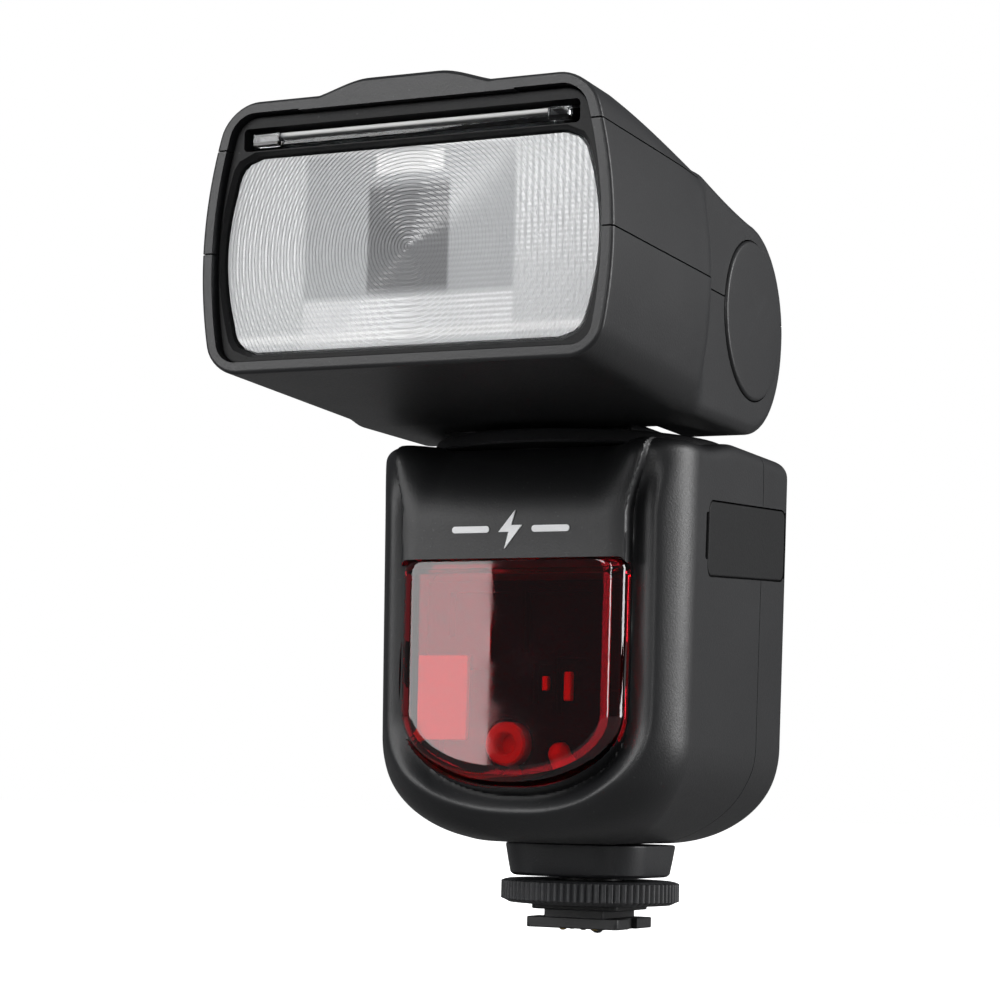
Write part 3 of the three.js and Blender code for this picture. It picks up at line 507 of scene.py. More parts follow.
def finish(name, colour, worn, rough, metallic=0.0, grain=2500.0, depth=1.0, wear=0.3, drift=0.12, bump=0.15,
           specular=0.5, transmission=0.0, ior=1.46):
    material = bpy.data.materials.new(name)
    material.use_nodes = True
    tree = material.node_tree
    shader = tree.nodes["Principled BSDF"]
    shader.inputs["Metallic"].default_value = metallic
    shader.inputs["Specular IOR Level"].default_value = specular
    shader.inputs["Transmission Weight"].default_value = transmission
    shader.inputs["IOR"].default_value = ior
    group = bpy.data.node_groups.get("moulded_surface") or surface_group()
    surface = tree.nodes.new("ShaderNodeGroup")
    surface.node_tree = group
    values = {"Colour": (*colour, 1), "Worn Colour": (*worn, 1), "Roughness": rough, "Grain Scale": grain,
              "Grain Depth": depth, "Wear": wear, "Drift": drift}
    for label, value in values.items():
        surface.inputs[label].default_value = value
    tree.links.new(surface.outputs["Colour"], shader.inputs["Base Color"])
    tree.links.new(surface.outputs["Roughness"], shader.inputs["Roughness"])
    relief = tree.nodes.new("ShaderNodeBump")
    relief.inputs["Strength"].default_value = bump
    relief.inputs["Distance"].default_value = 0.0001
    tree.links.new(surface.outputs["Height"], relief.inputs["Height"])
    tree.links.new(relief.outputs["Normal"], shader.inputs["Normal"])
    return material


def coordinates(tree):
    split = tree.nodes.new("ShaderNodeSeparateXYZ")
    tree.links.new(tree.nodes.new("ShaderNodeTexCoord").outputs["Object"], split.inputs[0])
    return split.outputs


def between(tree, value, low, high, soft=0.0006):
    """1 where low < value < high, in metres, with soft borders."""
    up = math_node(tree, "DIVIDE", math_node(tree, "SUBTRACT", value, low), soft, True)
    down = math_node(tree, "DIVIDE", math_node(tree, "SUBTRACT", high, value), soft, True)
    return times(tree, up, down)


def lens_finish():
    """Clear ribbed lens: rings from geometry, side flutes from bump, and the bright lamp chamber's tones."""
    material = finish("lens_clear", (0.66, 0.67, 0.68), (0.9, 0.9, 0.9), 0.12, grain=700, depth=0.4, wear=0.2,
                      drift=0.35, bump=0.10, transmission=0.35, ior=1.49)
    tree = material.node_tree
    shader = tree.nodes["Principled BSDF"]
    x, y, z = coordinates(tree)
    side = math_node(tree, "ABSOLUTE", x)
    surface = [n for n in tree.nodes if n.type == "GROUP"][0]
    base = surface.outputs["Colour"]
    column = times(tree, between(tree, side, -1.0, 0.0078), between(tree, z, 0.106, 0.1262, 0.002))
    wide = times(tree, between(tree, side, -1.0, 0.0197), between(tree, z, 0.1063, 0.1312))
    ledge = times(tree, between(tree, side, -1.0, 0.0197), between(tree, z, 0.0985, 0.1063))
    block = times(tree, between(tree, side, -1.0, 0.0066), between(tree, z, 0.1268, 0.131))
    foot = between(tree, z, 0.0988, 0.1012, 0.0012)
    # painted light and shade: the darker wide zone and column, the bright ledge, block and foot line stand in
    # for the lit and shaded lamp chamber seen through the lens
    shade = mix_colour(tree, times(tree, wide, 0.45), base, (0.36, 0.37, 0.38, 1))
    shade = mix_colour(tree, times(tree, column, 0.7), shade, (0.14, 0.14, 0.145, 1))
    shade = mix_colour(tree, times(tree, ledge, 0.6), shade, (0.97, 0.97, 0.98, 1))
    shade = mix_colour(tree, block, shade, (0.9, 0.9, 0.9, 1))
    shade = mix_colour(tree, foot, shade, (0.97, 0.97, 0.97, 1))
    tree.links.new(shade, shader.inputs["Base Color"])
    flutes = math_node(tree, "SINE", times(tree, x, 2 * math.pi / 0.0011))
    steps = math_node(tree, "SINE", times(tree, z, 2 * math.pi / 0.0009))
    outer = between(tree, side, 0.0197, 1.0)
    rungs = math_node(tree, "ADD", times(tree, ledge, 0.6), 0.35)
    height = math_node(tree, "ADD", times(tree, flutes, outer),
                       times(tree, steps, rungs))
    relief = [n for n in tree.nodes if n.type == "BUMP"][0]
    relief.inputs["Strength"].default_value = 0.5
    tree.links.new(height, relief.inputs["Height"])
    return material


def screen_finish():
    """A display with generic bars and a dial mark, no letters."""
    material = finish("display_face", (0.22, 0.27, 0.20), (0.3, 0.34, 0.28), 0.35, grain=3000, wear=0.0,
                      drift=0.2)
    tree = material.node_tree
    shader = tree.nodes["Principled BSDF"]
    surface = [n for n in tree.nodes if n.type == "GROUP"][0]
    x, y, z = coordinates(tree)
    dark = (0.02, 0.025, 0.02, 1)
    shade = surface.outputs["Colour"]
    for x0, x1, z0, z1 in ((-18, -8, 74, 77), (8, 16, 74, 77), (-18, 17, 62.6, 63.2), (-4, 4, 73.6, 77.4)):
        box = times(tree, between(tree, x, x0 * MM, x1 * MM, 0.0002),
                        between(tree, z, z0 * MM, z1 * MM, 0.0002))
        shade = mix_colour(tree, box, shade, dark)
    ticks = math_node(tree, "GREATER_THAN", math_node(tree, "SINE", times(tree, x, 2100.0)), 0.35)
    band = times(tree, between(tree, z, 0.0655, 0.0705, 0.0002), between(tree, x, -0.018, 0.009, 0.0002))
    shade = mix_colour(tree, times(tree, ticks, band), shade, dark)
    tree.links.new(shade, shader.inputs["Base Color"])
    return material


def shade(amount, colour_value):
    return tuple(amount * c for c in colour_value)


def make_finishes():
    chosen = bpy.context.scene.flash_colours
    case, rubber, window = tuple(chosen.case), tuple(chosen.rubber), tuple(chosen.window)
    deep = shade(0.52, case)
    lit = shade(3.0, case)
    soft = shade(0.4, rubber)
    return {
        "black": finish("black_moulding", case, lit, 0.44, bump=0.35, wear=0.35),
        "dark": finish("dark_moulding", deep, lit, 0.5, bump=0.3),
        # painted shade: the focus holder behind the red window gets a near black, almost glossless copy of the
        # case colour for the shade it sits in
        "pit": finish("unlit_holder", shade(0.2, case), deep, 0.8, bump=0.3, wear=0.1,
                      specular=0.1),
        "frame": finish("frame_moulding", shade(0.45, case), case, 0.55, bump=0.3, specular=0.25),
        # painted light: the shoe collar and lock ring get a lit copy of the case colour, 2.2 times lighter, on
        # top of their real edge wear
        "worn": finish("lit_case_moulding", shade(2.2, case), lit, 0.46, bump=0.4, wear=0.35),
        "rubber": finish("soft_key_rubber", rubber, (0.06, 0.06, 0.062), 0.66, grain=1800, bump=0.4),
        "flap": finish("flap_rubber", shade(0.5, soft), case, 0.6, grain=2200, bump=0.3,
                       specular=0.25),
        "lens": lens_finish(),
        "clear": finish("panel_clear", (0.88, 0.92, 0.96), (0.98, 0.98, 0.98), 0.04, grain=300, depth=0.6,
                        wear=0.5, drift=0.1, bump=0.05, transmission=1.0, ior=1.49),
        "red_clear": finish("red_clear", window, (0.75, 0.04, 0.05), 0.02, grain=120, depth=0.3,
                            wear=0.25, drift=0.1, bump=0.01, transmission=1.0, ior=1.52),
        "screen": finish("screen_cover", (0.80, 0.84, 0.86), (0.9, 0.9, 0.9), 0.05, grain=300, wear=0.1,
                         bump=0.01, transmission=0.9),
        "display": screen_finish(),
        # painted shade: the bounce card's colour is darkened to 0.45 for the shade of the slot it sits in
        "white": finish("white_card", shade(0.45, chosen.card), (0.6, 0.6, 0.6), 0.45, grain=1500,
                        wear=0.2, bump=0.1),
        "red": finish("red_plastic", tuple(chosen.signal), (0.9, 0.12, 0.1), 0.35, grain=900, wear=0.3),
        "steel": finish("plain_steel", (0.42, 0.43, 0.44), (0.6, 0.6, 0.6), 0.3, metallic=1.0,
                         grain=900, bump=0.1),
        "chrome": finish("chrome", (0.74, 0.75, 0.76), (0.9, 0.9, 0.9), 0.12, metallic=1.0,
                         grain=500, bump=0.03),
        "gold": finish("gold_plating", (0.72, 0.47, 0.13), (0.85, 0.65, 0.3), 0.25, metallic=1.0,
                       grain=700, bump=0.05),
        "mirror": finish("bright_reflector", (0.86, 0.87, 0.88), (0.95, 0.95, 0.95), 0.16, metallic=1.0,
                         grain=400, bump=0.05),
        "board": finish("circuit_board", (0.012, 0.09, 0.03), (0.1, 0.2, 0.1), 0.5, grain=600),
        "sleeve": finish("capacitor_sleeve", (0.012, 0.02, 0.05), (0.1, 0.1, 0.12), 0.35, grain=600),
        "print": finish("printed_mark", tuple(chosen.mark), (0.6, 0.6, 0.6), 0.5, wear=0.4,
                        bump=0.1),
    }


FINISH = {}


# ---------------------------------------------------------------- head

SCREWS = [(-29.2, -74), (-29.2, -46), (29.2, -74), (29.2, -46)]


def barrel_room(margin):
    half, radius = BARREL_HALF + margin, BARREL_RADIUS + margin
    room = rod("room", "X", HINGE, radius, -half, half, 128)
    combine(room, slab("behind", -half, half, HINGE_Y, 20, 90, 140), "UNION")
    below = slab("below", -half, half, HINGE_Y - 15.5 - margin, 20, 90, HINGE_Z - 12.5 + margin)
    combine(room, below, "UNION")
    return room


def head_shell(name):
    shell = head_form(name)
    combine(shell, barrel_room(0.5))
    combine(shell, head_form("face_room", inset=2.0, front=-92, rear=-80.5, lip=0))
    inner = head_form("lamp_room", inset=2.6, front=-92, rear=-32, lip=0)
    combine(inner, slab("ceiling", -45, 45, -95, -20, 132.1, 150))
    combine(inner, barrel_room(3.0))
    combine(shell, inner)
    combine(shell, slab("slot_room", -31, 31, -95, -41, 133.1, 136.4))
    for side in (-1, 1):
        low, high = sorted((side * 32.8, side * 40))
        combine(shell, rod("dish", "X", HINGE, 15.1, low, high, 128))
    for x, y in SCREWS:
        combine(shell, rod("screw_well", "Z", (x, y, 0), 2.4, 130.3, 134, 40))
    return shell


def build_head_shells():
    shell = head_shell("head_shell")
    cover_zone = slab("cover_zone", -60, 60, -100, -42, 132.95, 160)
    cover = combine(copy_of(shell, "head_top_cover"), copy_of(cover_zone, "keep"), "INTERSECT")
    bump = bump_form()
    combine(cover, bump, "UNION")
    grown = slab("cover_gap", -60, 60, -100, -41.72, 132.67, 160)
    bpy.data.objects.remove(cover_zone)
    combine(shell, grown)
    lower = copy_of(shell, "head_lower_shell")
    combine(lower, slab("keep", -60, 60, -100, 30, 80, 114.86), "INTERSECT")
    upper = combine(shell, slab("keep", -60, 60, -100, 30, 115.14, 160), "INTERSECT")
    upper.name = "head_upper_shell"
    place(lower, "head", "black", "head_lower_shell")
    place(upper, "head", "black", "head_upper_shell")
    place(cover, "head", "black", "head_top_cover")


def bump_form():
    """The low rise over the pull tabs, blended out to the sides and the rear."""
    rows = []
    for y in np.linspace(HEAD_FRONT, HEAD_FRONT + 16, 22):
        t = (y - HEAD_FRONT) / 16
        fall = float(smoothstep(1 - t))
        lip = float(roundoff(y - HEAD_FRONT, 0.7))
        top = []
        for x in np.linspace(-20, 20, 49):
            rise = 2.8 * float(smoothstep((19.5 - abs(x + 0.5)) / 13)) * fall
            top.append((float(x), float(y), HEAD_TOP - 0.45 + rise - lip))
        rows.append(top + [(20, float(y), HEAD_TOP - 2.2), (-20, float(y), HEAD_TOP - 2.2)])
    return loft("pull_rise", rows)


def build_front_frame():
    rows = []
    for y, inset in ((-85.2, 2.75), (-85.05, 2.45), (-84.8, 2.3), (-82.3, 2.3)):
        rows.append(head_section(-80.0, inset))
        rows[-1] = [(x, y, z) for x, _, z in rows[-1]]
    plate = loft("front_frame", rows)
    well = loft("lens_well", [[(x, y, z) for x, z in lens_outline(grow)]
                              for y, grow in ((-86.5, 1.6), (-85.4, 1.1), (-84.4, 0.45), (-81.5, 0.3))])
    combine(plate, well)
    slot = loft("slot_well", [[(x, y, z) for x, z in rounded(-31 - g, 31 + g, 132.9 - g, 136.4 + g, 0.8)]
                              for y, g in ((-86.5, 0.9), (-85.2, 0.25), (-81.5, 0.0))])
    combine(plate, slot)
    place(plate, "head", "frame", "front_frame")


def build_lens():
    profile = [(0.02, -83.6)]
    pitch, depth = bpy.context.scene.flash_sizes.lens_pitch, 0.16
    count = int(36.5 / pitch)
    for k in range(count):
        r = pitch * (k + 0.15)
        profile.append((r + 0.02, -83.9))
        profile.append((r + pitch * 0.82, -83.9 + depth))
    profile += [(37.5, -83.8), (37.5, -81.9), (0.02, -81.9)]
    disc = turned("fresnel_lens", profile, "Y", (0, 0, LENS_MID), 180)
    combine(disc, prism("lens_edge", lens_outline(0.0, 40), "Y", -86, -80), "INTERSECT")
    flange = prism("lens_flange", lens_outline(0.9, 40), "Y", -81.95, -80.8)
    combine(disc, flange, "UNION")
    place(disc, "head", "lens", "fresnel_lens", angle=12)


def build_tilt_covers():
    for side, name in ((1, "tilt_cover_right"), (-1, "tilt_cover_left")):
        inner, outer, r = 33.1, 34.95, 14.85
        profile = [(0.05, inner), (r, inner), (r, outer - 0.7)]
        profile += [(r - 0.6 * (1 - math.cos(a)), outer - 0.7 + 0.6 * math.sin(a))
                    for a in (0.4, 0.8, 1.2, 1.57)]
        profile += [(r * k, outer - 0.1 + 0.1 * (1 - k * k)) for k in (0.9, 0.7, 0.4, 0.003)]
        disc = turned(name, [(r0, side * a) for r0, a in profile], "X", HINGE, 128)
        place(disc, "head", "black", name)


def build_panels():
    wide = slab("wide_panel", -29.6, 29.6, -84.6, -45, 133.45, 134.45, 0.25)
    tab = slab("wide_tab", -29.4, -24.2, -85.6, -83.8, 133.3, 135.6, 0.3)
    combine(wide, tab, "UNION")
    combine(wide, slab("wide_tab", 25.6, 29.4, -85.6, -83.8, 133.3, 135.6, 0.3), "UNION")
    place(wide, "wide_panel", "clear", "wide_panel")
    card = slab("bounce_card", -25.4, 25.4, -84.4, -45, 134.95, 135.75, 0.3)
    # the card takes the painted shade finish
    place(card, "bounce_card", "white", "bounce_card")


def build_head_screws():
    for index, (x, y) in enumerate(SCREWS):
        r = 2.1
        profile = [(0.02, 132.7), (1.2, 132.7), (r - 0.3, 132.6), (r, 132.3), (r, 130.9),
                   (1.1, 130.9), (1.1, 103), (0.02, 103)]
        head = turned(f"head_screw_{index + 1}", profile, "Z", (x, y, 0), 40)
        for w, h in ((1.4, 0.28), (0.28, 1.4)):
            combine(head, slab("cross", x - w, x + w, y - h, y + h, 132.0, 134))
        place(head, "head", "steel", f"head_screw_{index + 1}")


# ---------------------------------------------------------------- neck

def build_neck():
    top, low = 90.7, 88.0
    profile = [(0.05, 84.2), (20, 84.2), (20, low), (28.2, low), (28.6, low + 0.35), (28.0, top - 0.9),
               (27.6, top - 0.25), (27.0, top), (24.6, top), (24.3, top - 0.3), (23.9, top), (0.05, top)]
    disc = turned("neck_turntable", profile, "Z", (0, NECK_Y, 0), 160)
    lift = slab("lift", -15, 15, HINGE_Y - 11, HINGE_Y + 11, top - 1, 93.6, 0.6)
    combine(disc, lift, "UNION")
    combine(disc, rod("barrel_seat", "X", HINGE, 19.1, -40, 40, 96))
    combine(disc, rod("wire_way", "Z", (0, NECK_Y, 0), 7, 80, 99))
    place(disc, "neck", "black", "neck_turntable")
    for side, name in ((-1, "neck_front_cover"), (1, "neck_rear_cover")):
        r, half = BARREL_RADIUS, BARREL_HALF
        profile = [(4.3, -half), (r - 0.8, -half), (r - 0.2, -half + 0.2), (r, -half + 0.8),
                   (r, half - 0.8), (r - 0.2, half - 0.2), (r - 0.8, half), (4.3, half)]
        shell = turned(name, profile, "X", HINGE, 128)
        combine(shell, rod("hollow", "X", HINGE, r - 2.4, -half + 2.4, half - 2.4, 96))
        combine(shell, rod("shaft_way", "X", HINGE, 4.3, -30, 30, 48))
        combine(shell, rod("wire_way", "Z", (0, NECK_Y, 0), 7, 90, 103))
        y0, y1 = (HINGE_Y - 30, HINGE_Y - 0.14) if side < 0 else (HINGE_Y + 0.14, HINGE_Y + 30)
        combine(shell, slab("keep", -40, 40, y0, y1, 80, 140), "INTERSECT")
        place(shell, "neck", "black", name)


# ---------------------------------------------------------------- body

KEYS = []
for _k in range(4):
    KEYS.append((f"soft_key_{_k + 1}", (_k - 1.5) * 11.4, 53.6, 8.0, 3.6))
KEYS += [("mode_key", -20.5, 46.0, 8.5, 4.2), ("menu_key", -20.5, 39.5, 8.5, 4.2),
         ("sync_key", 20.5, 46.0, 8.5, 4.2), ("test_button", 20.5, 39.5, 8.5, 4.2)]
FLAP = (-21.0, 21.0, 64.7, 78.3)
FLAP_LIFT = 2.5
DOOR = (-26.0, 5.0, 37.3, 81.0)


def flap_outline(grow):
    """The port flap's outline: it climbs towards the rear."""
    y0, y1, z0, z1 = FLAP
    flat = rounded(y0 - grow, y1 + grow, z0 - grow, z1 + grow, 1.8 + grow)
    return [(y, z + FLAP_LIFT * (y - y0) / (y1 - y0)) for y, z in flat]


def key_prism(name, x, z, w, h, grow, r, low, high):
    """A key's outline, grown all round and pushed from front to back."""
    x0, x1 = x - w / 2 - grow, x + w / 2 + grow
    z0, z1 = z - h / 2 - grow, z + h / 2 + grow
    return front_prism(name, x0, x1, z0, z1, r, low, high)


def build_body_shells():
    shell = body_form("body_shell")
    window_room = loft("window_room", [[(x, y, z) for x, z in window_outline(g)]
                                       for y, g in ((-44, -0.3), (-36.5, -0.3))])
    combine(shell, window_room)
    combine(shell, prism("window_hole", window_outline(1.6), "Y", -40, -29.4))
    combine(shell, slab("battery_bay", -29.5, 2.6, -26.3, 5.3, 37.0, 81.3))
    y0, y1, z0, z1 = DOOR
    combine(shell, side_prism("door_hole", y0 - 0.25, y1 + 0.25, z0 - 0.25, z1 + 0.25, 1.5, -33, -28.1))
    y0, y1, z0, z1 = FLAP
    combine(shell, prism("flap_room", flap_outline(0.25), "X", 28.8, 33))
    combine(shell, side_prism("hinge_groove", y1 - 0.4, y1 + 0.8, 67.6, 80.6, 0.55, 30.1, 33))
    combine(shell, side_prism("finger_notch", y0 - 1.5, y0 + 0.6, 67.6, 76.2, 0.6, 28.9, 33))
    combine(shell, rod("jack_hole", "X", (0, -12, 72.2), 3.8, 19.5, 33))
    combine(shell, side_prism("port_hole", -3.2, 6.2, 69.6, 74.8, 1.0, 19.5, 33))
    combine(shell, front_prism("screen_room", -23.25, 23.25, 57.75, 82.25, 1.6, 24.3, 30))
    combine(shell, front_prism("screen_hole", -21, 21, 60, 80, 0.8, 18.6, 30))
    for name, x, z, w, h in KEYS:
        combine(shell, key_prism("key_hole", x, z, w, h, 0.3, h / 2 - 0.1, 20.6, 30))
    combine(shell, rod("dial_room", "Y", DIAL, 10.75, 24.0, 30, 96))
    combine(shell, rod("set_hole", "Y", DIAL, 5.3, 20.6, 30, 64))
    combine(shell, front_prism("switch_slot", -21.75, -14.65, 31.9, 35.1, 0.4, 20.6, 30))
    combine(shell, rod("neck_seat", "Z", (0, NECK_Y, 0), 29.0, 87.7, 96, 160))
    combine(shell, rod("neck_hole", "Z", (0, NECK_Y, 0), 20.3, 81.6, 95, 96))
    front_zone = prism("keep", seam_line(-0.12) + [(-70, 96), (-70, 10)], "X", -50, 50)
    rear_zone = prism("keep", seam_line(0.12) + [(70, 96), (70, 10)], "X", -50, 50)
    front = combine(copy_of(shell, "front_shell"), front_zone, "INTERSECT")
    rear = combine(shell, rear_zone, "INTERSECT")
    rear.name = "rear_shell"
    place(front, "base", "black", "front_shell")
    place(rear, "base", "black", "rear_shell")


def window_ring(y, inset):
    """The window's outline moved in at the sides and below, and only a little at its straight top."""
    high, kept = 60.0, 66.3 - 0.08 * inset
    ring = []
    for x, z in window_outline(inset):
        if z > high:
            z = high + (z - high) * (kept - high) / (66.3 - inset - high)
        ring.append((x, y, z))
    return ring


def build_window():
    back, front, r = -36.6, -41.1, 3.6
    rows = [window_ring(back, 0.0)]
    for k in range(15):
        a = 0.5 * math.pi * k / 14
        rows.append(window_ring(front + r * (1 - math.sin(a)), r * (1 - math.cos(a))))
    rows += [window_ring(front, inset) for inset in (r + 0.15, r + 1.5)]
    pane = loft("focus_window", rows)
    room = loft("pane_hollow", [[(x, y, z) for x, z in window_outline(inset)]
                                for y, inset in ((-36.0, 1.4), (-38.4, 1.4), (-39.4, 2.4))])
    combine(pane, room)
    place(pane, "base", "red_clear", "focus_window")


def build_focus_parts():
    holder = slab("focus_holder", -18.6, 18.6, -34.5, -30, 27.3, 63, 0.3)
    combine(holder, rod("lens_seat", "Y", (-1.8, 0, 33.6), 4.7, -36, -31.4))
    combine(holder, rod("lamp_seat", "Y", (8, 0, 31.9), 2.5, -36, -31.4))
    cells = ((-14, -2, 53, 61), (1, 14, 50, 61), (-15.5, -7.4, 32, 47), (3, 6.6, 41, 48), (7.6, 13, 39, 49))
    for x0, x1, z0, z1 in cells:
        combine(holder, slab("cell", x0, x1, -37, -32.3, z0, z1))
    # the holder takes the painted shade finish
    place(holder, "base", "pit", "focus_holder")
    ring = turned("focus_ring", [(1.8, -33.0), (1.9, -35.6), (2.2, -36.0), (3.5, -36.0), (3.9, -35.6),
                                 (3.9, -31.8), (1.8, -31.8)], "Y", (-1.8, 0, 33.6), 96)
    place(ring, "base", "red", "focus_ring")
    lamp = turned("focus_lamp", [(0.02, -35.6), (0.9, -35.4), (1.6, -34.9), (2.1, -34.0), (2.2, -31.8),
                                 (0.02, -31.8)], "Y", (8, 0, 31.9), 48)
    place(lamp, "base", "red", "focus_lamp")
    plate = slab("diffuser_plate", -19.3, -9.3, -36.4, -35.2, 34.1, 49.4, 0.25)
    place(plate, "base", "red")
    for name, x, z, w, h in (("sensor_chip", 9.3, 44.0, 1.5, 5.2), ("sensor_tab", 4.9, 44.5, 1.2, 2.6)):
        chip = slab(name, x - w / 2, x + w / 2, -34.0, -32.6, z - h / 2, z + h / 2, 0.3)
        place(chip, "base", "red")


def build_mark():
    """A plain lightning bolt between two bars, in place of any maker's sign."""
    bolt = [(0.9, 75.2), (-2.3, 71.3), (-0.3, 71.3), (-1.1, 68.2), (2.3, 72.5), (0.2, 72.5)]
    piece = prism("panel_mark", bolt, "Y", -40.42, -40.1)
    for side in (-1, 1):
        low, high = sorted((side * 4.2, side * 11.5))
        combine(piece, front_prism("bar", low, high, 71.2, 72.4, 0.55, -40.42, -40.1), "UNION")
    place(piece, "base", "print")


def build_side_covers():
    flap = soften(prism("port_flap", flap_outline(0.0), "X", 29.15, 30.5), 0.35)
    place(lean(flap, 1), "port_flap", "flap", "port_flap")
    y0, y1, z0, z1 = DOOR
    door = side_prism("battery_door", y0, y1, z0, z1, 1.4, -30.4, -28.4)
    soften(door, 0.35)
    for k in range(5):
        z = z1 - 4.5 - 1.5 * k
        combine(door, slab("grip", -32, -30.1, -15.5, -5.5, z - 0.35, z + 0.35))
    place(lean(door, -1), "battery_door", "black", "battery_door")


def key_mark(name, outline, y):
    mark = prism(f"{name}_mark", outline, "Y", y, y + 0.16)
    place(mark, name, "print")


def build_keys():
    for name, x, z, w, h in KEYS:
        rows = []
        for y, inset in ((21.3, 0.0), (KEY_FACE - 0.7, 0.0), (KEY_FACE - 0.35, 0.08), (KEY_FACE - 0.12, 0.3),
                         (KEY_FACE, 0.65)):
            rows.append([(u, y, v) for u, v in
                         rounded(x - w / 2 + inset, x + w / 2 - inset, z - h / 2 + inset, z + h / 2 - inset,
                                 h / 2 - 0.3 - inset)])
        cap = loft(name, rows)
        combine(cap, key_prism("flange", x, z, w, h, 0.6, 1.5, 21.0, 22.2), "UNION")
        place(cap, name, "rubber", name)
        key_mark(name, rounded(x - 1.3, x + 1.3, z - 0.25, z + 0.25, 0.2, 3), KEY_FACE - 0.03)


def build_dial():
    teeth, r, low, high = 36, 10.4, 24.3, 26.75
    rows = []
    for y, shrink in ((low, 0.0), (high - 0.9, 0.0), (high - 0.3, 0.15), (high, 0.7)):
        row = []
        for a in np.linspace(0, 2 * math.pi, teeth * 8, endpoint=False):
            radius = r - shrink - 0.22 * (0.5 + 0.5 * math.cos(teeth * a))
            row.append((radius * math.cos(a), y, DIAL[2] + radius * math.sin(a)))
        rows.append(row)
    ring = loft("control_dial", rows)
    well = turned("dial_well", [(5.6, 20), (5.6, high - 0.5), (6.3, high + 0.3), (6.6, 30)], "Y", DIAL, 96)
    combine(ring, well)
    place(ring, "control_dial", "dark", "control_dial")
    profile = [(0.02, 22.2), (4.9, 22.2), (4.9, 26.2), (4.7, 26.55), (4.3, 26.75), (2.5, 26.6), (0.02, 26.5)]
    button = turned("set_button", profile, "Y", DIAL, 96)
    place(button, "set_button", "rubber", "set_button")


def build_power_switch():
    knob = slab("power_switch", -21.45, -17.95, 22.0, 26.0, 32.2, 34.8, 0.3)
    for x in (-20.6, -19.7, -18.8):
        combine(knob, slab("groove", x - 0.22, x + 0.22, 25.7, 27, 32, 35))
    combine(knob, slab("slider", -25.25, -14.15, 21.1, 22.6, 31.3, 35.7), "UNION")
    place(knob, "power_switch", "dark", "power_switch")


# ---------------------------------------------------------------- shoe

def build_collar():
    rows = []
    for z, half, r in ((9.6, 12.5, 7.0), (9.75, 12.95, 7.3), (10.2, 13.35, 7.5), (12.5, 13.75, 7.7),
                       (15.3, 14.2, 8.0), (15.6, 14.1, 7.9), (15.7, 13.9, 7.8)):
        half += bpy.context.scene.flash_sizes.collar_half - 14.2
        rows.append([(x, y, z) for x, y in rounded(-half, half, -half, half, r, 14)])
    piece = loft("shoe_collar", rows)
    combine(piece, rod("post_way", "Z", (0, 0, 0), 6.3, 5, 20, 64))
    combine(piece, rod("ring_recess", "Z", (0, 0, 0), 10.5, 5, 10.3, 96))
    # the collar takes the lit copy of the case colour, which is painted light
    place(piece, "base", "worn", "shoe_collar")


def build_lock_ring():
    teeth, steps = 80, 8
    rows = []
    levels = [(4.9, 12.6, 0), (4.5, 13.6, 0), (4.4, 14.2, 0), (4.5, 15.4, 0), (4.9, 16.1, 0.15),
              (5.2, 16.5, 1), (8.5, 16.5, 1), (8.75, 16.2, 0.2), (8.9, 15.6, 0)]
    for z, r, tooth in levels:
        row = []
        for a in np.linspace(0, 2 * math.pi, teeth * steps, endpoint=False):
            wave = 0.5 + 0.5 * math.cos(teeth * a)
            radius = r + tooth * 0.42 * min(1.0, 1.6 * wave)
            row.append((radius * math.cos(a), radius * math.sin(a), z))
        rows.append(row)
    ring = loft("lock_ring", rows)
    combine(ring, rod("bore", "Z", (0, 0, 0), 6.6, 0, 12, 64))
    # the lock ring takes the lit copy of the case colour, which is painted light
    place(ring, "lock_ring", "worn", "lock_ring", angle=40)


def build_foot():
    w, l = 9.3, 9.0
    plate = prism("shoe_foot", rounded(-w, w, -l, l, 0.9, 5), "Z", 0, 2)
    soften(plate, 0.22)
    combine(plate, slab("boss", -6, 6, -8, 8, 1.5, 4.2, 0.3), "UNION")
    combine(plate, rod("post", "Z", (0, 0, 0), 6, 3.2, 21), "UNION")
    combine(plate, slab("contact_well", -5.4, 5.4, -7.2, 1.4, -1, 3))
    for side in (-1, 1):
        low, high = sorted((side * (w - 1), side * (w + 1)))
        combine(plate, slab("notch", low, high, -3, 1, -1, 3))
    combine(plate, rod("pin_way", "Z", (0, 4, 0), 1.4, -1, 20))
    place(plate, "base", "dark", "shoe_foot")
    pads = slab("contact_block", -5.1, 5.1, -6.9, 1.1, 0, 1.4, 0.2)
    places = [(0, -3), (-3.2, -0.8), (3.2, -0.8), (-3.2, -5.2), (3.2, -5.2)]
    for x, y in places:
        combine(pads, rod("pin_hole", "Z", (x, y, 0), 1.1, -1, 3, 40))
    place(pads, "base", "dark", "contact_block")
    comb = slab("contact_pins", -4.6, 4.6, -6.4, 0.6, 1.8, 2.6)
    tip = [(0.02, -0.5), (0.4, -0.45), (0.7, -0.25), (0.8, 0.1), (0.8, 2.2), (0.02, 2.2)]
    for x, y in places:
        combine(comb, turned("tip", tip, "Z", (x, y, 0), 32), "UNION")
    place(comb, "base", "gold", "contact_pins")
    clamp = prism("clamp_plate", rounded(-8.8, 8.8, -8.8, 8.8, 2), "Z", 3.4, 4.6)
    soften(clamp, 0.25)
    combine(clamp, slab("boss_way", -6.3, 6.3, -8.3, 8.3, 0, 8))
    place(clamp, "clamp", "dark", "clamp_plate")
    pin = turned("locking_pin", [(0.02, -1.3), (0.6, -1.2), (0.95, -0.9), (1.1, -0.5), (1.1, 17), (0.02, 17)],
                 "Z", (0, 4, 0), 40)
    place(pin, "locking_pin", "chrome", "locking_pin")


# ---------------------------------------------------------------- carried CAD nodes

